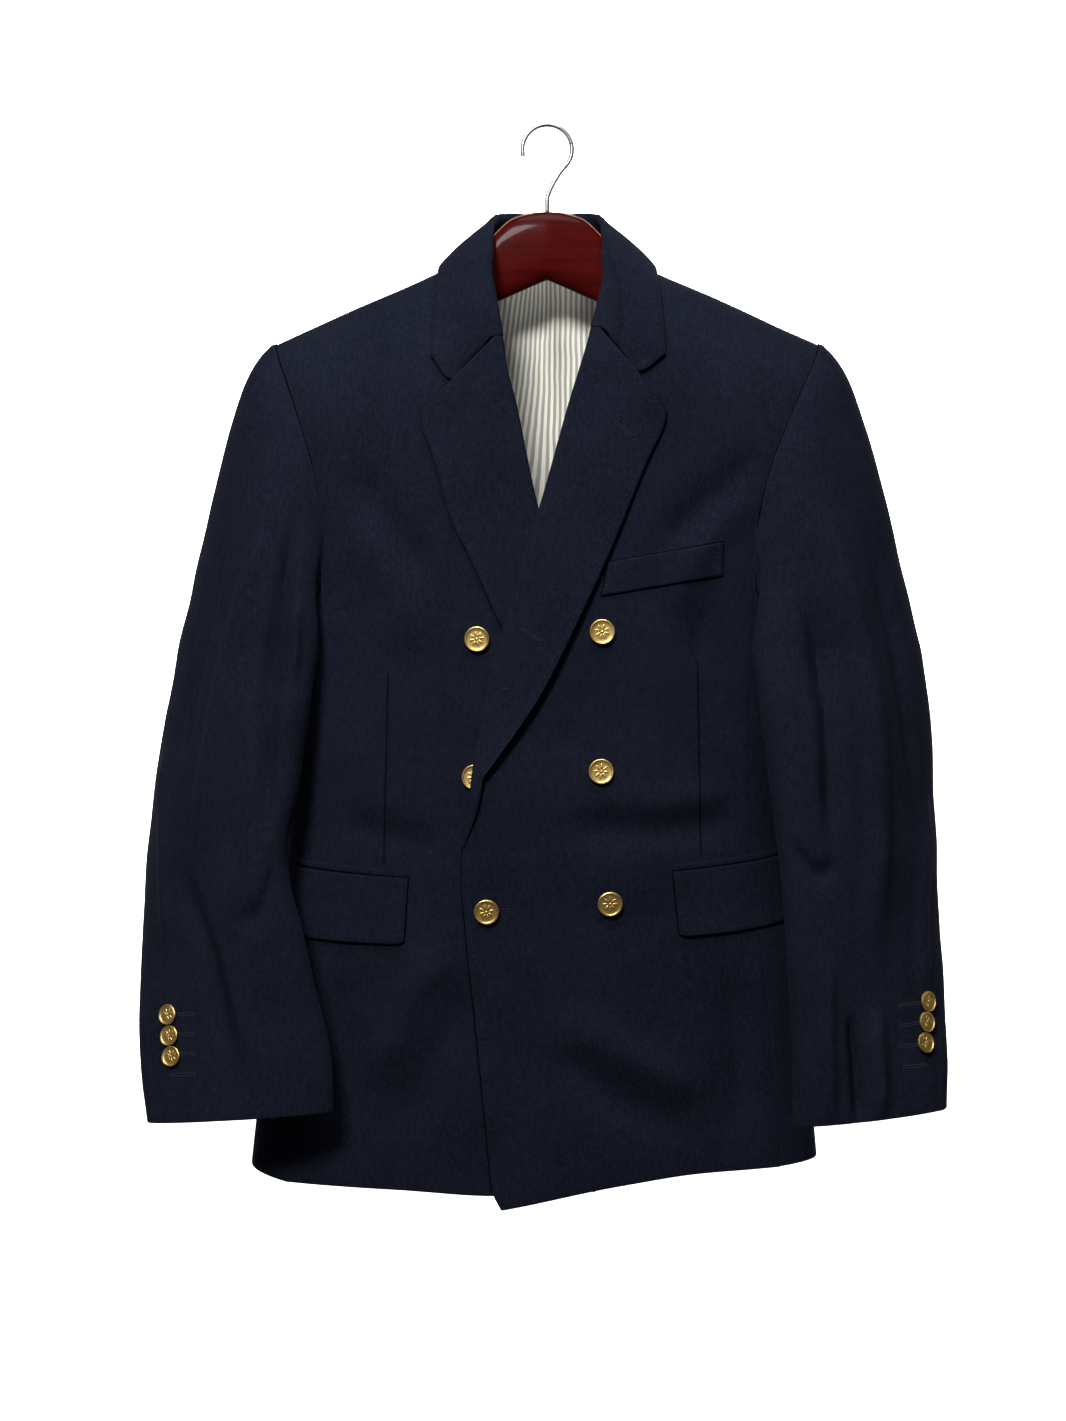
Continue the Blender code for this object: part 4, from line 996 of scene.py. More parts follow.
COLLAR_END = 0.0014       # the collar's roll ends this far below the gorge
COLLAR_ROLL = [           # how far past the front's edge and how far out of its face
    (-0.0020, -0.0016), (-0.0030, -0.0008), (-0.0036, 0.0004), (-0.0036, 0.0016),
    (-0.0018, 0.0032),
]
FALL_COLUMNS = 4


def collar_section(share):
    """Middle line of the collar's wall at a place from the right gorge to the left."""
    side = LEFT if share >= 0.0 else RIGHT
    at = abs(share)
    fold = Vector((side * FOLD_X(at), FOLD_Y(at), FOLD_Z(at)))
    edge = collar_edge(side, at)
    seam = neck_seam(side, at)
    seam = seam + (fold - seam).normalized() * NECK_GAP
    outward = Vector((fold.x, fold.y, 0.0)).normalized()
    down = Vector((0.0, 0.0, -1.0))
    stand_top = fold - outward * FOLD_RADIUS + down * FOLD_RADIUS
    fall_top = fold + outward * FOLD_RADIUS + down * FOLD_RADIUS
    line = [seam, seam.lerp(stand_top, 0.55), stand_top, fold, fall_top]
    toward_gorge = smooth((at - 0.66) / 0.34)
    if toward_gorge > 0.0:
        z = mix(fold.z, GORGE[side].height - COLLAR_END, toward_gorge)
        rolled = [
            front_point(side, FRONT_EDGE[side](z) + side * past, z, lift)
            for past, lift in COLLAR_ROLL
        ]
        line = [a.lerp(b, toward_gorge) for a, b in zip(line, rolled)]
    if 0.5 < at < 0.999:
        line[-1] = rest_on_panels(side, line[-1], COLLAR_REST * 0.8)
    fall_top = line[-1]
    for step in range(1, FALL_COLUMNS + 1):
        t = step / FALL_COLUMNS
        point = fall_top.lerp(edge, t) + outward * 0.0035 * math.sin(math.pi * t)
        line.append(rest_on_panels(side, point, COLLAR_REST))
    meets = smooth((at - 0.955) / 0.045)
    if meets > 0.0:
        for column, part in ((4, 0.0), (5, 0.33), (6, 0.66), (7, 1.0)):
            x, z = gorge_place(side, part * GORGE[side].notch_share)
            line[column] = line[column].lerp(front_point(side, x, z, COLLAR_LIFT), meets)
    return line


def smooth_line(points, count):
    """A finer line through a few points, closer together at both ends."""
    run = [0.0]
    for a, b in zip(points, points[1:]):
        run.append(run[-1] + (b - a).length)
    courses = [Course([(at, point[i]) for at, point in zip(run, points)]) for i in range(3)]
    return [
        Vector([course(run[-1] * share) for course in courses])
        for share in stops(count, run[-1])
    ]


def collar():
    shares = [mix(-1.0, 1.0, share) for share in stops(140, 0.55)]
    middle = [smooth_line(collar_section(share), 34) for share in shares]
    outer = thicken(middle, COLLAR_CLOTH / 2, 1.0)
    inner = thicken(middle, COLLAR_CLOTH / 2, -1.0)
    thing = wall("cloth_collar", outer, inner)
    hang(thing, "wool_edge", "collar")


# ---------------------------------------------------- pockets and buttons

WELT_CORNERS = ((0.0495, -0.3713), (0.1435, -0.3537), (0.1435, -0.3812), (0.0435, -0.3987))
Pocket = namedtuple("Pocket", "jet_top flap_top flap_foot jet_rise flap_rise")
POCKETS = {
    LEFT: Pocket((0.1015, -0.6185), (0.1023, -0.6245), (0.1080, -0.6781), 0.0115, 0.0115),
    RIGHT: Pocket((-0.1131, -0.6243), (-0.1148, -0.6300), (-0.1181, -0.6848), 0.0100, 0.0080),
}
POCKET_END = 0.950        # share of the body's half width that a pocket reaches to
JET_HEIGHT = 0.0052
PATCH_LIFT = 0.00056      # a welt or jet lies this far off the front
FLAP_LIFT = 0.00064
STAND = 0.0016            # how far a welt's or flap's free edge stands off


def patch(name, place_at, columns, rows, size, lift, thickness, stand=None):
    """A small piece that lies on a front: place_at(u, v) gives its (x, z, side)."""
    across, down = stops(columns, size[0]), stops(rows, size[1])
    outer, inner = [], []
    for v in down:
        face, back = [], []
        for u in across:
            x, z, side = place_at(u, v)
            proud = stand(u, v) if stand else 0.0
            face.append(front_point(side, x, z, lift + thickness + proud))
            back.append(front_point(side, x, z, lift + proud))
        outer.append(face)
        inner.append(back)
    return wall(name, outer, inner)


def welt_place(u, v):
    """(x, z) on the slanted chest welt."""
    top_left, top_right, foot_right, foot_left = WELT_CORNERS
    x = mix(mix(foot_left[0], foot_right[0], u), mix(top_left[0], top_right[0], u), v)
    z = mix(mix(foot_left[1], foot_right[1], u), mix(top_left[1], top_right[1], u), v)
    return x, z


def chest_welt():
    def welt_at(u, v):
        return *welt_place(u, v), LEFT

    def stand(u, v):
        return STAND * smooth(v) * math.sin(math.pi * u)

    thing = patch(
        "cloth_chest_welt", welt_at, 36, 10, (0.10, 0.027), PATCH_LIFT, WELT_CLOTH, stand,
    )
    hang(thing, "wool_edge", "chest_welt")


def toward_side(side, x, z, u):
    """x of a place between x and the pocket's far end, evenly round the body."""
    centre, half = section(z)[:2]
    start = math.asin(clamp(abs(x - centre) / half) ** (ROUNDNESS / 2.0))
    end = math.asin(POCKET_END ** (ROUNDNESS / 2.0))
    return centre + side * half * math.sin(mix(start, end, u)) ** (2.0 / ROUNDNESS)


def flap_place(side, plan, u, v):
    """(x, z) on a pocket's flap: u from its front end, v from its foot to its top."""
    x = mix(plan.flap_foot[0], plan.flap_top[0], v)
    z = mix(plan.flap_foot[1], plan.flap_top[1], v) + plan.flap_rise * u
    corner = 0.0022 * (1.0 - v) * (1.0 - smooth(u / 0.05)) ** 2
    bow = -0.0010 * math.sin(math.pi * u) * (1.0 - v)
    return toward_side(side, x, z, u), z + corner + bow


def pocket(side):
    word, plan = WORD[side], POCKETS[side]

    def jet_at(u, v):
        z = plan.jet_top[1] + plan.jet_rise * u - JET_HEIGHT * (1.0 - v)
        return toward_side(side, plan.jet_top[0], z, u), z, side

    def flap_at(u, v):
        return *flap_place(side, plan, u, v), side

    def stand(u, v):
        return STAND * (1.0 - v) ** 1.5 * (0.6 + 0.4 * math.sin(5.0 * u + side))

    name = "pocket_jet_" + word
    jet = patch("cloth_" + name, jet_at, 40, 3, (0.12, 0.0055), PATCH_LIFT, JET_CLOTH)
    dress(jet, "wool_edge", (name,))
    name = "pocket_flap_" + word
    flap = patch("cloth_" + name, flap_at, 44, 20, (0.12, 0.054), FLAP_LIFT, CLOTH, stand)
    hang(flap, "wool_edge", name)


FRONT_BUTTON = 0.01035    # radius of a button
CUFF_BUTTON = 0.00830
FRONT_BUTTON_GAP = 0.0003
CUFF_BUTTON_GAP = 0.0007
BUTTON_PROFILE = [
    (0.0, 0.0), (0.0020, 0.0), (0.0022, 0.0004), (0.0022, 0.0019), (0.0088, 0.0020),
    (0.0099, 0.0023), (0.01035, 0.0030), (0.01030, 0.0037), (0.0101, 0.0042),
    (0.0096, 0.0045), (0.0090, 0.0044), (0.0086, 0.0039), (0.0080, 0.0037),
    (0.0050, 0.0039), (0.0, 0.0041),
]
PETALS = 8
PETAL_AT = (0.0040, 0.0, 0.0040)
PETAL = (0.0024, 0.0010, 0.0003, 1.0)
BOSS = (0.0012, 0.0012, 0.0006, 1.0)


def button(node, radius, seat, outward, turn):
    """A turned metal button with a rim and a small flower of petals on its face."""
    mesh = bmesh.new()
    points = [mesh.verts.new((r, 0.0, h)) for r, h in BUTTON_PROFILE]
    edges = [mesh.edges.new(pair) for pair in zip(points, points[1:])]
    bmesh.ops.spin(
        mesh, geom=points + edges, cent=(0, 0, 0), axis=(0, 0, 1),
        angle=2 * math.pi, steps=48, use_merge=True,
    )
    bmesh.ops.remove_doubles(mesh, verts=mesh.verts, dist=0.00002)
    bmesh.ops.recalc_face_normals(mesh, faces=mesh.faces)
    petal = Matrix.Translation(PETAL_AT) @ Matrix.Diagonal(PETAL)
    for number in range(PETALS):
        place = Matrix.Rotation(2 * math.pi * number / PETALS, 4, "Z") @ petal
        bmesh.ops.create_uvsphere(mesh, u_segments=12, v_segments=8, radius=1.0, matrix=place)
    middle = Matrix.Translation((0, 0, BUTTON_PROFILE[-1][1])) @ Matrix.Diagonal(BOSS)
    bmesh.ops.create_uvsphere(mesh, u_segments=16, v_segments=8, radius=1.0, matrix=middle)
    aim = outward.to_track_quat("Z", "Y").to_matrix().to_4x4()
    spin = Matrix.Rotation(turn, 4, "Z")
    scale = Matrix.Scale(radius / FRONT_BUTTON, 4)
    mesh.transform(Matrix.Translation(seat) @ aim @ spin @ scale)
    dress(settle("metal_" + node, mesh, 35.0), "button_metal", (node,))


FrontButton = namedtuple("FrontButton", "x z under turn")
FRONT_BUTTONS = [
    FrontButton(-0.0578, -0.4337, True, 0.2), FrontButton(0.0441, -0.4279, False, 0.5),
    FrontButton(-0.0600, -0.5470, True, 0.1), FrontButton(0.0432, -0.5420, False, 0.7),
    FrontButton(-0.0500, -0.6568, False, 0.3), FrontButton(0.0507, -0.6500, False, 0.0),
]
CUFF_BUTTONS = {
    RIGHT: [(-0.3088, -0.7408), (-0.3075, -0.7571), (-0.3052, -0.7723)],
    LEFT: [(0.3080, -0.7303), (0.3069, -0.7465), (0.3053, -0.7634)],
}


def front_buttons():
    step = 0.003
    for number, plan in enumerate(FRONT_BUTTONS, start=1):
        side = RIGHT if plan.under else LEFT
        x, z = plan.x, plan.z
        across = front_point(side, x + step, z) - front_point(side, x - step, z)
        upward = front_point(side, x, z + step) - front_point(side, x, z - step)
        outward = across.cross(upward).normalized()
        seat = front_point(side, x, z) + outward * FRONT_BUTTON_GAP
        button(f"button_front_{number}", FRONT_BUTTON, seat, outward, plan.turn)


def cuff_seat(side, x, z):
    """The place and outward direction on a sleeve's front face at (x, z)."""
    v = mix(HEAD_SHARE, 1.0, (BICEP - z) / (BICEP - CUFF))
    low, high = 5.0, 100.0
    for _ in range(30):
        turn = mix(low, high, 0.5)
        if abs(sleeve_point(side, turn, v).x) > abs(x):
            low = turn
        else:
            high = turn
    point = sleeve_point(side, turn, v)
    along = sleeve_point(side, turn + 1.0, v) - sleeve_point(side, turn - 1.0, v)
    up = sleeve_point(side, turn, v + 0.01) - sleeve_point(side, turn, v - 0.01)
    outward = along.cross(up).normalized() * side
    return point + outward * sleeve_unevenness(side, turn, point), outward


def cuff_buttons():
    for side in (LEFT, RIGHT):
        for number, (x, z) in enumerate(CUFF_BUTTONS[side], start=1):
            seat, outward = cuff_seat(side, x, z)
            node = f"button_cuff_{WORD[side]}_{number}"
            button(node, CUFF_BUTTON, seat + outward * CUFF_BUTTON_GAP, outward, 0.4 * number)


# ----------------------------------------------------------------- hanger

Arm = namedtuple("Arm", "across top foot half_thick")
HANGER = [
    Arm(0.000, -0.0717, -0.1290, 0.0085), Arm(0.014, -0.0729, -0.1350, 0.0085),
    Arm(0.028, -0.0765, -0.1412, 0.0085), Arm(0.044, -0.0900, -0.1483, 0.0085),
    Arm(0.060, -0.1130, -0.1553, 0.0084), Arm(0.078, -0.1238, -0.1630, 0.0086),
    Arm(0.110, -0.1345, -0.1770, 0.0092), Arm(0.160, -0.1567, -0.1990, 0.0098),
    Arm(0.195, -0.1725, -0.2120, 0.0095), Arm(0.210, -0.1815, -0.2100, 0.0065),
]
HANGER_COURSES = [Course([(arm.across, arm[i]) for arm in HANGER]) for i in (1, 2, 3)]
ACROSS_POWER, UP_POWER = 0.75, 0.60      # how square the wood's sections are
WOOD_TIP = 0.008          # the length over which a tip rounds off
HOOK_WIRE = 0.0019
HOOK_INNER = 0.0190
HOOK_STEM_TOP = -0.0600
HOOK_START, HOOK_END = math.radians(-48.0), math.radians(196.0)


def hanger_wood():
    """A contoured wooden hanger: rounded sections from tip to tip."""
    half_length = HANGER[-1].across
    count, corners = 120, 40
    mesh = bmesh.new()
    rings = []
    for step in range(count + 1):
        across = half_length * mix(-1.0, 1.0, step / count)
        top, foot, thick = (course(abs(across)) for course in HANGER_COURSES)
        end = clamp((half_length - abs(across)) / WOOD_TIP)
        ease = math.sqrt(1.0 - (1.0 - mix(0.12, 1.0, end)) ** 2)
        middle, half = 0.5 * (top + foot), 0.5 * (top - foot) * ease
        ring = []
        for corner in range(corners):
            angle = 2.0 * math.pi * (corner + 0.5) / corners
            y = thick * ease * signed_power(math.cos(angle), ACROSS_POWER)
            if y < 0.0:
                y -= 0.0016 * clamp(1.0 - abs(across) / 0.035) * abs(math.cos(angle))
            z = middle + half * signed_power(math.sin(angle), UP_POWER)
            ring.append(mesh.verts.new((across, y, z)))
        rings.append(ring)
    loops = [
        [mesh.edges.new((a, b)) for a, b in zip(ring, ring[1:] + ring[:1])] for ring in rings
    ]
    for first, second in zip(loops, loops[1:]):
        bmesh.ops.bridge_loops(mesh, edges=first + second)
    bmesh.ops.holes_fill(mesh, edges=loops[0] + loops[-1], sides=0)
    bmesh.ops.recalc_face_normals(mesh, faces=mesh.faces)
    dress(settle("wood_hanger", mesh, 50.0), "mahogany", ("hanger_wood",))


def on_hook(angle):
    """A place on the hook's round, on the middle of its wire."""
    wire = HOOK_INNER + HOOK_WIRE
    return Vector((wire * math.cos(angle), 0.0, -HOOK_INNER + wire * math.sin(angle)))


def hanger_hook():
    """A straight stem that swings out into a round hook, bent from one wire."""
    foot = HANGER[0].top + 0.0005
    stem_top = Vector((0.0, 0.0, HOOK_STEM_TOP))
    route = [Vector((0.0, 0.0, foot)), Vector((0.0, 0.0, mix(foot, HOOK_STEM_TOP, 0.5))), stem_top]
    for step in range(1, 12):
        t = step / 12
        bow = Vector((-0.0016 * math.sin(math.pi * t), 0.0, 0.0))
        route.append(stem_top.lerp(on_hook(HOOK_START), smooth(t) * 0.35 + t * 0.65) + bow)
    route += [on_hook(angle) for angle in steps(HOOK_START, HOOK_END, 60)]
    thing = thread("steel_hook", route, HOOK_WIRE, 5)
    dress(thing, "steel", ("hanger_hook",))


# ---------------------------------------------------- sewing and painted shadow lines on the cloth

STITCH_PITCH = 0.0060
STITCH = Vector((0.00105, 0.00026, 0.00016))      # half-lengths along, across and up
PURL = Vector((0.00026, 0.00062, 0.00030))
PURL_PITCH = 0.00062
EDGE_INSET = 0.0042       # how far inside an edge its stitches run
LONGEST_STEP = 0.006      # a laid line that jumps further than this is not sewn there
CLOTH_TREES = {}


def lay(cloths, place):
    """Where a pin pushed in from the front at (x, z) meets the nearest of some cloths, and the
    way out of it."""
    nearest = None
    for name in cloths:
        if name not in CLOTH_TREES:
            mesh = bmesh.new()
            mesh.from_mesh(bpy.data.objects[name].data)
            CLOTH_TREES[name] = BVHTree.FromBMesh(mesh)
            mesh.free()
        start = Vector((place[0], -0.5, place[1]))
        point, outward, _, _ = CLOTH_TREES[name].ray_cast(start, Vector((0.0, 1.0, 0.0)))
        if point and (nearest is None or point.y < nearest[0].y):
            nearest = (point, outward)
    return nearest


def lay_line(cloths, line, step=0.0010):
    """A line of (x, z) places laid on a cloth, as evenly spaced (point, outward) pairs."""
    made = []
    for a, b in zip(line, line[1:]):
        a, b = Vector(a), Vector(b)
        count = max(1, round((b - a).length / step))
        for i in range(count):
            laid = lay(cloths, a.lerp(b, i / count))
            if laid:
                made.append(laid)
    return made


def inset(line, distance):
    """A line moved sideways, to the left of its own run where the distance is positive."""
    line = [Vector(place) for place in line]
    made = []
    for i, place in enumerate(line):
        run = (line[min(i + 1, len(line) - 1)] - line[max(i - 1, 0)]).normalized()
        made.append(place + Vector((-run.y, run.x)) * distance)
    return made


def bead(mesh, point, along, outward, size):
    """One small rounded stitch."""
    side = outward.cross(along).normalized()
    up = along.cross(side).normalized()
    place = Matrix((along * size.x, side * size.y, up * size.z)).transposed().to_4x4()
    place.translation = point
    bmesh.ops.create_icosphere(mesh, subdivisions=1, radius=1.0, matrix=place)


def sew(mesh, laid, size, pitch):
    """Stitches along a laid line, a pitch apart."""
    run, due = 0.0, pitch * 0.5
    for (a, outward), (b, _) in zip(laid, laid[1:]):
        span = (b - a).length
        if span == 0.0 or span > LONGEST_STEP:
            continue
        along = (b - a) / span
        while run + span >= due:
            bead(mesh, a.lerp(b, (due - run) / span), along, outward, size)
            due += pitch
        run += span


def pick_stitches():
    """The hand-sewn look of a tailored edge: small stitches just inside the lapels', collar's and
    flaps' edges, down the over front's edge and at the welt's ends.
    """
    mesh = bmesh.new()
    for side in (LEFT, RIGHT):
        lapel_cloth, flap_cloth = "cloth_lapel_" + WORD[side], "cloth_pocket_flap_" + WORD[side]
        low, high = LAPEL_FOOT[side] + 0.03, LAPEL_POINT[side] - 0.004
        lapel_line = [(LAPEL_EDGE[side](z), z) for z in steps(low, high)]
        gorge_line = [gorge_place(side, GORGE[side].notch_share), gorge_place(side, 1.0)]
        collar_line = [(side * EDGE_X(at), EDGE_Z(at)) for at in steps(0.66, 0.985)]
        flap_foot = [(u, 0.085) for u in steps(0.03, 0.97)]
        flap_end = [(0.036, v) for v in steps(0.085, 0.96)]
        lines = [
            (lapel_cloth, inset(lapel_line, side * EDGE_INSET)),
            (lapel_cloth, inset(gorge_line, -side * EDGE_INSET)),
            ("cloth_collar", inset(collar_line, -side * EDGE_INSET)),
            (flap_cloth, [flap_place(side, POCKETS[side], u, v) for u, v in flap_foot]),
            (flap_cloth, [flap_place(side, POCKETS[side], u, v) for u, v in flap_end]),
        ]
        for cloth, line in lines:
            sew(mesh, lay_line((cloth,), line), STITCH, STITCH_PITCH)
    front = [(FRONT_EDGE[LEFT](z), z) for z in steps(-0.612, -0.893, 40)]
    sew(mesh, lay_line(("cloth_front_left",), inset(front, EDGE_INSET)), STITCH, STITCH_PITCH)
    for u in (0.035, 0.965):
        line = [welt_place(u, v) for v in steps(0.1, 0.9)]
        sew(mesh, lay_line(("cloth_chest_welt",), line), STITCH, STITCH_PITCH * 0.6)
    dress(settle("sewing_pick_stitches", mesh), "thread")


EDGE_SHADOW_LINE = 0.00042       # radius of the painted shadow line under a turned edge
ARMHOLE_LINE = 0.00050
FRONT_EDGE_LINE = 0.00060
ARMHOLE_LINE_LIFT = 0.0009


def armhole_shadow_lines():
    """A painted shadow along each armhole's seam: a near-black line just proud of the body's
    cloth.
    """
    for side in (LEFT, RIGHT):
        turns = steps(-120.0, 238.0, 180)
        route = [armhole(side, turn, 0.0, ARMHOLE_LINE_LIFT) for turn in turns]
        # The line is painted shade, where the sleeve's head meets the body.
        dress(thread("shadow_line_armhole_" + WORD[side], route, ARMHOLE_LINE), "shadow")


def edge_shadow_lines():
    """Painted shadow under the turned edges: near-black lines on the cloth just under each edge,
    in the gorge's gap, round the flaps and the welt and under the over front's edge.
    """
    for side in (LEFT, RIGHT):
        notch = GORGE[side].notch_share
        levels = steps(LAPEL_FOOT[side] + 0.02, LAPEL_POINT[side], 60)
        lapel_line = [(LAPEL_EDGE[side](z) + side * 0.0002, z) for z in levels]
        lapel_line += [gorge_place(side, at) for at in steps(1.0, notch, 12)]
        gorge_line = [gorge_place(side, at) for at in steps(notch, 0.04, 24)]
        collar_line = [(side * (EDGE_X(at) + 0.0002), EDGE_Z(at)) for at in steps(0.68, 1.0, 40)]
        rim = [(-0.003, v) for v in steps(0.96, -0.005, 12)]
        rim += [(u, -0.005) for u in steps(0.0, 0.97, 30)]
        flap_line = [flap_place(side, POCKETS[side], u, v) for u, v in rim]
        routes = (
            ("lapel", lapel_line, 0.0004),
            ("gorge", gorge_line, 0.0016),
            ("collar", collar_line + [gorge_place(side, notch)], 0.0004),
            ("flap", flap_line, 0.0003),
        )
        # Each route is drawn as painted shadow: a near-black line on the cloth just under an edge
        # or in the gorge's gap.
        for stem, line, lift in routes:
            route = [front_point(side, x, z, lift) for x, z in line]
            dress(thread(f"sewing_{stem}_seam_{WORD[side]}", route, EDGE_SHADOW_LINE), "shadow")
    # Painted shadow at the foot of the over front's edge, on the under front.
    closing = [(FRONT_EDGE[LEFT](z) - 0.0004, z) for z in steps(-0.600, -0.887, 60)]
    route = [front_point(RIGHT, x, z, 0.0005) for x, z in closing]
    dress(thread("shadow_line_front_edge", route, FRONT_EDGE_LINE), "shadow")
    # Painted shadow round the chest welt's rim.
    rim = [(u, -0.015) for u in steps(1.0, 0.0)] + [(-0.004, v) for v in steps(0.0, 1.0, 8)]
    rim += [(u, 1.015) for u in steps(0.0, 1.0)] + [(1.004, v) for v in steps(1.0, 0.0, 8)]
    route = [front_point(LEFT, *welt_place(u, v), 0.0003) for u, v in rim]
    dress(thread("shadow_line_welt_rim", route, EDGE_SHADOW_LINE), "shadow")


Hole = namedtuple("Hole", "cloths start end eye")
OVER_FRONT = ("cloth_front_left",)
OVER_LAPEL = ("cloth_lapel_left",)
CUFF_LEFT = ("cloth_sleeve_top_left",)
CUFF_RIGHT = ("cloth_sleeve_top_right",)
BUTTONHOLES = [
    Hole(OVER_LAPEL, (0.0548, -0.2575), (0.0705, -0.2702), True),
    Hole(OVER_LAPEL, (-0.0218, -0.4255), (-0.0030, -0.4370), True),
    Hole(OVER_FRONT, (-0.0468, -0.5436), (-0.0378, -0.5440), False),
    Hole(OVER_FRONT, (-0.0480, -0.6559), (-0.0300, -0.6562), False),
    Hole(CUFF_RIGHT, (-0.3040, -0.7400), (-0.2868, -0.7388), False),
    Hole(CUFF_RIGHT, (-0.3030, -0.7563), (-0.2862, -0.7550), False),
    Hole(CUFF_RIGHT, (-0.3010, -0.7716), (-0.2852, -0.7704), False),
    Hole(CUFF_RIGHT, (-0.3060, -0.7880), (-0.2850, -0.7864), False),
    Hole(CUFF_LEFT, (0.2850, -0.7312), (0.3040, -0.7306), False),
    Hole(CUFF_LEFT, (0.2846, -0.7475), (0.3030, -0.7468), False),
    Hole(CUFF_LEFT, (0.2840, -0.7640), (0.3010, -0.7636), False),
    Hole(CUFF_LEFT, (0.2870, -0.7802), (0.3080, -0.7798), False),
]


# The slit and the keyhole are beads of painted shade.
SLIT = Vector((0.00070, 0.00032, 0.00022))
SLIT_PITCH = 0.0009
BAR = Vector((0.00030, 0.00130, 0.00034))         # the stitched bar at each end
EYE = Vector((0.00120, 0.00100, 0.00050))         # painted shade for the keyhole at the end of a lapel's hole
PURL_ROW = 0.0008         # distance of each row of purl stitches from the slit
HOLE_STEP = 0.0006


def buttonholes():
    """Purl-stitched buttonholes: painted shade as a dark slit between two rows of close stitches.
    """
    purl, slit = bmesh.new(), bmesh.new()
    for hole in BUTTONHOLES:
        line = [hole.start, hole.end]
        for offset in (PURL_ROW, -PURL_ROW):
            sew(purl, lay_line(hole.cloths, inset(line, offset), HOLE_STEP), PURL, PURL_PITCH)
        middle = lay_line(hole.cloths, line, HOLE_STEP)
        sew(slit, middle, SLIT, SLIT_PITCH)
        along = (middle[-1][0] - middle[0][0]).normalized()
        for point, outward in (middle[0], middle[-1]):
            bead(purl, point, along, outward, BAR)
        if hole.eye:
            point, outward = middle[-2]
            bead(slit, point, along, outward, EYE)
    dress(settle("sewing_buttonholes", purl), "thread")
    # Painted shade: the near-black beads of the slits and keyholes.
    dress(settle("shadow_slits", slit), "shadow")


WORN_LINE = 0.00042


def wood_edge():
    """The bare line that wear leaves along the front of the hanger's top arc."""
    turn = math.radians(66.0)
    for word, low, high in (("right", -0.0460, -0.0120), ("left", 0.0150, 0.0460)):
        route = []
        for x in steps(low, high):
            top, foot, thick = (course(abs(x)) for course in HANGER_COURSES)
            y = -thick * signed_power(math.cos(turn), ACROSS_POWER)
            z = 0.5 * (top + foot) + 0.5 * (top - foot) * signed_power(math.sin(turn), UP_POWER)
            route.append(Vector((x, y, z)))
        dress(thread("wood_edge_" + word, route, WORN_LINE), "bare_wood", ())


# ------------------------------------------------------------- materials


class Wire:
    """A value in a material that sums can be written with."""

    def __init__(self, recipe, socket):
        self.recipe, self.socket = recipe, socket

    def sum(self, operation, *values):
        """A Math node's result."""
        made = self.recipe.node("ShaderNodeMath", {"operation": operation})
        for socket, value in zip(made.inputs, values):
            self.recipe.feed(socket, value)
        return Wire(self.recipe, made.outputs[0])

    def __add__(self, other):
        return self.sum("ADD", self, other)

    def __mul__(self, other):
        return self.sum("MULTIPLY", self, other)

    def __sub__(self, other):
        return self.sum("SUBTRACT", self, other)

    def __rsub__(self, other):
        return self.sum("SUBTRACT", other, self)

    def __truediv__(self, other):
        return self.sum("DIVIDE", self, other)

    __radd__, __rmul__ = __add__, __mul__

    def wave(self):
        return self.sum("SINE", self)

    def size(self):
        return self.sum("ABSOLUTE", self)

    def rest(self, length):
        """What is left of a value past a whole number of lengths."""
        return self.sum("FLOORED_MODULO", self, length)

    def between(self, low, high):
        """0 below low, 1 above high and smooth between them."""
        made = self.recipe.node(
            "ShaderNodeMapRange", {"interpolation_type": "SMOOTHSTEP"},
            {"Value": self, "From Min": low, "From Max": high},
        )
        return Wire(self.recipe, made.outputs["Result"])


class Recipe:
    """One material, written as sums that end in its shader's sockets."""

    def __init__(self, name, **fixed):
        self.material = bpy.data.materials.new(name)
        self.material.use_nodes = True
        self.tree = self.material.node_tree
        self.shader = self.tree.nodes["Principled BSDF"]
        for label, value in fixed.items():
            self.socket(label).default_value = value
        MATERIAL[name] = self.material

    def socket(self, label):
        """The shader's socket by its name in small letters, as specular_ior_level."""
        return self.shader.inputs[label.replace("_", " ").title().replace("Ior", "IOR")]

    def node(self, kind, settings=None, inputs=None):
        """Any node: its settings first, then the values or links of its sockets."""
        made = self.tree.nodes.new(kind)
        for label, value in (settings or {}).items():
            setattr(made, label, value)
        for label, value in (inputs or {}).items():
            self.feed(made.inputs[label], value)
        return made

    def feed(self, socket, value):
        if isinstance(value, Wire):
            value = value.socket
        if isinstance(value, bpy.types.NodeSocket):
            self.tree.links.new(value, socket)
        else:
            socket.default_value = value

    def out(self, made, label):
        return Wire(self, made.outputs[label])

    def place(self):
        """Places in metres, the same for every piece."""
        return self.node("ShaderNodeTexCoord").outputs["Object"]

    def cloth(self):
        """Places along the cloth, in metres of its width and length."""
        return self.node("ShaderNodeUVMap", {"uv_map": "cloth"}).outputs["UV"]

    def parts(self, vector):
        made = self.node("ShaderNodeSeparateXYZ", None, {"Vector": vector})
        return [self.out(made, label) for label in "XYZ"]

    def stretch(self, vector, scale):
        """Places scaled, so that a pattern runs finer along one way than another."""
        made = self.node("ShaderNodeMapping", None, {"Vector": vector, "Scale": scale})
        return made.outputs["Vector"]

    def grain(self, vector, scale, detail=2.0, rough=0.5):
        made = self.node(
            "ShaderNodeTexNoise", None,
            {"Vector": vector, "Scale": scale, "Detail": detail, "Roughness": rough},
        )
        return self.out(made, "Fac")

    def blend(self, factor, first, second):
        made = self.node("ShaderNodeMix", {"data_type": "RGBA"})
        for index, value in ((0, factor), (6, first), (7, second)):
            if isinstance(value, tuple):
                value = (*value, 1.0)
            self.feed(made.inputs[index], value)
        return made.outputs[2]

    def bump(self, height, distance, strength=1.0):
        made = self.node(
            "ShaderNodeBump", None,
            {"Height": height, "Distance": distance, "Strength": strength},
        )
        self.tree.links.new(made.outputs["Normal"], self.shader.inputs["Normal"])

    def finish(self, **sockets):
        for label, value in sockets.items():
            self.feed(self.socket(label), value)


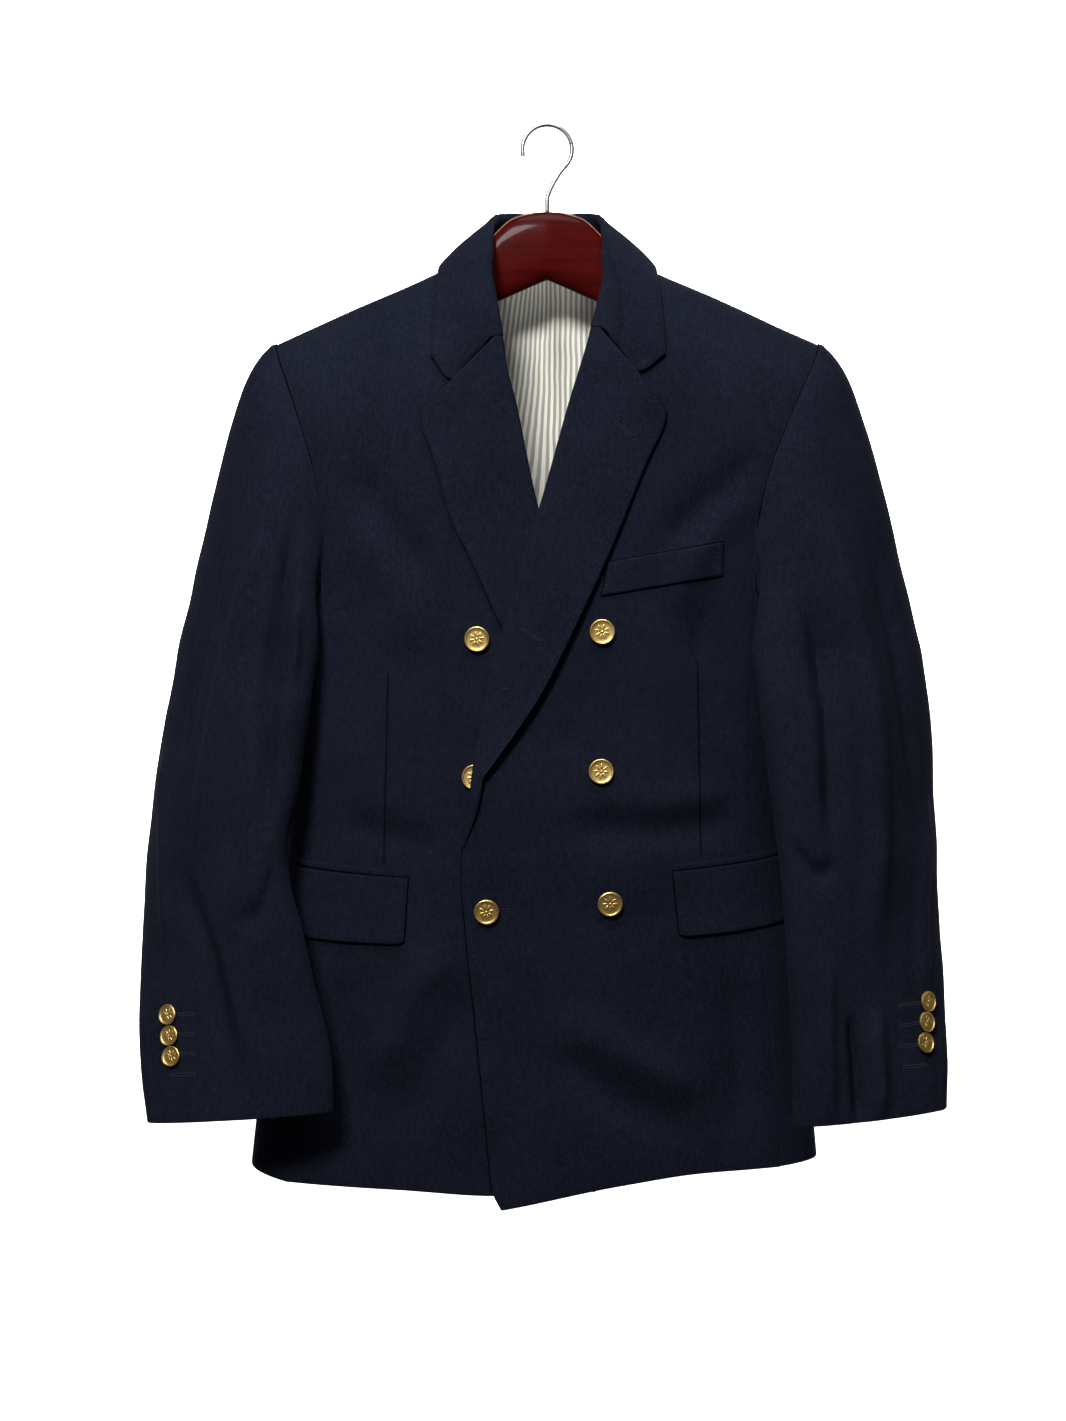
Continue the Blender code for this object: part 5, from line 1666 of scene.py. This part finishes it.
NAVY_LIGHT = (0.0158, 0.0188, 0.0335)
NAVY_DARK = (0.0030, 0.0039, 0.0086)
WOOL_SHEEN = (0.42, 0.50, 0.72, 1.0)
LINT = (0.10, 0.11, 0.14)
DART_DARK = (0.0020, 0.0024, 0.0050)
TWILL_PITCH = 0.0011
CROSS_PITCH = 0.0023
FRONT_DARTS = (           # upper and lower end of each front's dart
    ((-0.1309, -0.4560), (-0.1350, -0.6240)),
    ((0.1233, -0.4470), (0.1266, -0.6180)),
)


def wool(name, darts=()):
    """Soft fine wool: a low twill, a nap of short fibres and a few light specks."""
    recipe = Recipe(
        name, roughness=0.92, specular_ior_level=0.03, sheen_weight=0.020,
        sheen_roughness=0.40, sheen_tint=WOOL_SHEEN,
    )
    place = recipe.place()
    u, v, _ = recipe.parts(recipe.cloth())
    twill = ((u + v) * (2.0 * math.pi / TWILL_PITCH)).wave() * 0.5 + 0.5
    cross = ((u - v) * (2.0 * math.pi / CROSS_PITCH)).wave() * 0.5 + 0.5
    nap = recipe.grain(place, 900.0, 3.0, 0.65)
    fibre = recipe.grain(recipe.stretch(place, (420.0, 420.0, 150.0)), 1.0, 2.0, 0.6)
    cloud = recipe.grain(place, 16.0, 2.0, 0.5)
    fleck = recipe.grain(place, 330.0, 1.0, 0.5).between(0.60, 0.78)
    tone = (nap.between(0.30, 0.72) * 0.50 + twill * 0.16 + cross * 0.06
            + fibre.between(0.35, 0.75) * 0.22 + (cloud - 0.5) * 0.34)
    colour = recipe.blend(tone, NAVY_DARK, NAVY_LIGHT)
    colour = recipe.blend(fleck * 0.35, colour, NAVY_LIGHT)
    lint_cell = recipe.node(
        "ShaderNodeTexVoronoi", {"feature": "F1"},
        {"Vector": recipe.stretch(place, (1.0, 1.0, 0.45)), "Scale": 34.0, "Randomness": 1.0},
    )
    speck = 1.0 - recipe.out(lint_cell, "Distance").between(0.010, 0.020)
    colour = recipe.blend(speck * recipe.grain(place, 9.0).between(0.50, 0.60) * 0.8, colour, LINT)
    height = nap * 0.55 + twill * 0.30 + fibre * 0.35
    if darts:
        x, y, z = recipe.parts(place)
        facing = 1.0 - y.between(-0.012, -0.008)
        for (x0, z0), (x1, z1) in darts:
            centre = (z - z0) * ((x1 - x0) / (z1 - z0)) + x0
            line = 1.0 - (x - centre).size().between(0.0003, 0.0012)
            line = line * z.between(z1, z1 + 0.010) * (1.0 - z.between(z0 - 0.012, z0)) * facing
            colour = recipe.blend(line * 0.75, colour, DART_DARK)
            height = height - line * 2.2
    recipe.bump(height, 0.00045, 0.85)
    recipe.finish(base_color=colour)


STRIPE_PITCH = 0.0046
STRIPE_LEAN = 0.13        # how far the right half's stripes lean toward the neck
LINING_CREAM, LINING_GREY = (0.93, 0.92, 0.77), (0.42, 0.40, 0.375)
LINING_SHINE = (0.92, 0.91, 0.82)


def striped_lining():
    lining = Recipe("lining", roughness=0.42, sheen_weight=0.25, specular_ior_level=0.45)
    place = lining.place()
    x, _, z = lining.parts(place)
    lean = (z + 0.2) * (1.0 - x.between(-0.030, 0.012)) * STRIPE_LEAN
    waver = (lining.grain(place, 26.0) - 0.5) * 0.0030 - lean
    stripe = ((x + waver).rest(STRIPE_PITCH) / STRIPE_PITCH - 0.5).size()
    band = 1.0 - stripe.between(0.215, 0.275)
    weave = lining.grain(lining.stretch(place, (2600.0, 2600.0, 500.0)), 1.0)
    colour = lining.blend(band, LINING_CREAM, LINING_GREY)
    colour = lining.blend((weave - 0.5) * 0.4, colour, LINING_SHINE)
    soft = lining.grain(lining.stretch(place, (34.0, 34.0, 9.0)), 1.0, 2.0)
    lining.bump(soft * 3.0 + weave * 0.10, 0.0012, 0.8)
    lining.finish(base_color=colour)


GILT_DULL, GILT_BRIGHT = (0.74, 0.49, 0.14), (0.92, 0.68, 0.26)
WOOD_DARK, WOOD_LIGHT = (0.038, 0.0020, 0.0019), (0.062, 0.0033, 0.0029)
WOOD_PORE = (0.017, 0.0014, 0.0014)


def button_metal():
    metal = Recipe("button_metal", metallic=1.0)
    place = metal.place()
    worn = metal.grain(place, 420.0, 3.0, 0.6)
    dull = metal.grain(place, 34.0, 2.0)
    colour = metal.blend(dull.between(0.35, 0.70), GILT_DULL, GILT_BRIGHT)
    metal.bump(worn, 0.00006, 0.5)
    metal.finish(base_color=colour, roughness=worn * 0.16 + 0.33)


def mahogany():
    wood = Recipe(
        "mahogany", roughness=0.34, coat_weight=0.05, coat_roughness=0.06,
        specular_ior_level=0.02,
    )
    place = wood.place()
    rings = wood.grain(wood.stretch(place, (9.0, 60.0, 150.0)), 1.0, 3.0, 0.6)
    pores = wood.grain(wood.stretch(place, (60.0, 900.0, 1400.0)), 1.0, 2.0)
    colour = wood.blend(rings.between(0.30, 0.72), WOOD_DARK, WOOD_LIGHT)
    colour = wood.blend(pores.between(0.62, 0.75) * 0.25, colour, WOOD_PORE)
    wood.bump(pores * 0.3, 0.00008, 0.4)
    wood.finish(base_color=colour)


def small_finishes():
    """The hook's steel, the sewing thread, the near-black of the painted shadow lines and slits,
    and the hanger's worn line.
    """
    steel = Recipe("steel", metallic=1.0)
    brushed = steel.grain(steel.stretch(steel.place(), (300.0, 300.0, 900.0)), 1.0)
    colour = steel.blend(brushed, (0.30, 0.30, 0.31), (0.42, 0.42, 0.43))
    steel.finish(base_color=colour, roughness=brushed * 0.14 + 0.22)

    thread_wool = Recipe("thread", roughness=0.8, sheen_weight=0.06, specular_ior_level=0.10)
    fibre = thread_wool.grain(thread_wool.place(), 1600.0)
    thread_wool.bump(fibre, 0.0002, 0.5)
    colour = thread_wool.blend(fibre, (0.009, 0.011, 0.020), (0.030, 0.034, 0.050))
    thread_wool.finish(base_color=colour)

    shadow = Recipe("shadow", roughness=1.0, specular_ior_level=0.0)
    depth = shadow.grain(shadow.place(), 900.0)
    shadow.finish(base_color=shadow.blend(depth, (0.0006,) * 3, (0.002,) * 3))

    bare = Recipe("bare_wood", roughness=0.55)
    streak = bare.grain(bare.stretch(bare.place(), (200.0, 900.0, 900.0)), 1.0)
    bare.finish(base_color=bare.blend(streak, (0.22, 0.115, 0.055), (0.40, 0.24, 0.12)))


def backdrop_paper():
    paper = Recipe(
        "paper", roughness=0.95, emission_strength=0.70, emission_color=(1.0, 1.0, 1.0, 1.0),
    )
    tooth = paper.grain(paper.place(), 60.0, 3.0)
    paper.finish(base_color=paper.blend(tooth, (0.90, 0.90, 0.89), (0.93, 0.93, 0.92)))


# ------------------------------------------------------------- the studio

PIXEL = 0.00082           # metres for a pixel of the photograph at the front cloth
IMAGE_WIDTH = 1066
SENSOR = 36.0
CAMERA_AWAY = 1.9
LOOKED_AT = Vector((-0.012, -0.055, -0.4923))
FLOOR = -1.16
BACKDROP_AWAY = 4.20
BACKDROP_BEND = 0.90
PAPER_START, PAPER_END = 0.05, 8.40       # along the paper, from under the blazer up the wall
PAPER_WIDTH = 9.0
ROOM_LIGHT = 0.06         # how strongly the room lights the cloth
ROOM_PAPER = 1.00         # how pale it looks past the edge of the paper

BACKDROP_MIDDLE = Vector((0.0, BACKDROP_AWAY, -0.5))
Lamp = namedtuple("Lamp", "name place size power spread target")
LAMPS = (
    Lamp("key", (-0.58, -2.05, 0.95), 0.6, 58.0, 180.0, LOOKED_AT),
    Lamp("overhead", (0.05, -0.80, 1.25), 1.0, 22.0, 180.0, LOOKED_AT),
    Lamp("fill", (1.20, -2.30, 0.20), 1.6, 2.0, 180.0, LOOKED_AT),
    Lamp("behind", (1.10, 1.60, 0.90), 0.8, 13.0, 180.0, LOOKED_AT),
    Lamp("wall_left", (2.10, 2.40, 0.90), 1.0, 70.0, 100.0, BACKDROP_MIDDLE),
    Lamp("wall_right", (-2.10, 2.40, 0.90), 1.0, 70.0, 100.0, BACKDROP_MIDDLE),
)


def camera():
    """A level camera in front, which frames the blazer as the photograph does."""
    data = bpy.data.cameras.new("camera")
    data.sensor_fit = "HORIZONTAL"
    data.sensor_width = SENSOR
    data.lens = SENSOR * CAMERA_AWAY / (IMAGE_WIDTH * PIXEL)
    data.clip_start = 0.05
    view = bpy.data.objects.new("camera", data)
    view.location = LOOKED_AT - Vector((0.0, CAMERA_AWAY, 0.0))
    view.rotation_euler = (math.radians(90.0), 0.0, 0.0)
    bpy.context.scene.collection.objects.link(view)
    bpy.context.scene.camera = view


def backdrop():
    """A roll of pale paper that runs back as the floor and bends up as the wall."""
    mesh = bmesh.new()
    bmesh.ops.create_grid(mesh, x_segments=2, y_segments=60, size=0.5)
    bend, radius = BACKDROP_AWAY - BACKDROP_BEND, BACKDROP_BEND
    for vertex in mesh.verts:
        run = mix(PAPER_START, PAPER_END, vertex.co.y + 0.5)
        angle = clamp((run - bend) / radius, 0.0, math.pi / 2)
        past = max(run - bend - radius * math.pi / 2, 0.0)
        y = min(run, bend) + radius * math.sin(angle)
        z = FLOOR + radius * (1.0 - math.cos(angle)) + past
        vertex.co = (vertex.co.x * PAPER_WIDTH, y, z)
    paper = settle("backdrop", mesh)
    paper.data.materials.append(MATERIAL["paper"])


def lamps():
    for lamp in LAMPS:
        data = bpy.data.lights.new(lamp.name, "AREA")
        data.shape = "DISK"
        data.size = lamp.size
        data.energy = lamp.power
        data.spread = math.radians(lamp.spread)
        thing = bpy.data.objects.new(lamp.name, data)
        thing.location = lamp.place
        aim = lamp.target - Vector(lamp.place)
        thing.rotation_euler = aim.to_track_quat("-Z", "Y").to_euler()
        bpy.context.scene.collection.objects.link(thing)


def room():
    """A weak even light from all round, which the camera itself sees as white."""
    world = bpy.data.worlds.new("studio")
    world.use_nodes = True
    tree = world.node_tree
    sky = tree.nodes["Background"]
    sky.inputs["Color"].default_value = (1.0, 1.0, 1.0, 1.0)
    seen = tree.nodes.new("ShaderNodeLightPath")
    strength = tree.nodes.new("ShaderNodeMapRange")
    strength.inputs["To Min"].default_value = ROOM_LIGHT
    strength.inputs["To Max"].default_value = ROOM_PAPER
    tree.links.new(seen.outputs["Is Camera Ray"], strength.inputs["Value"])
    tree.links.new(strength.outputs["Result"], sky.inputs["Strength"])
    bpy.context.scene.world = world
    bpy.context.scene.view_settings.view_transform = "Standard"


# ---------------------------------------------------------------- making

wool("wool")
wool("wool_edge")
wool("wool_front", FRONT_DARTS)
striped_lining()
button_metal()
mahogany()
small_finishes()
backdrop_paper()
camera()
backdrop()
lamps()
room()
for side in (LEFT, RIGHT):
    front_panel(side)
    side_panel(side)
    back_panel(side)
    lining_panel(side)
    sleeve(side)
    lapel(side)
    pocket(side)
collar()
chest_welt()
front_buttons()
cuff_buttons()
pick_stitches()
armhole_shadow_lines()
edge_shadow_lines()
buttonholes()
hanger_wood()
wood_edge()
hanger_hook()
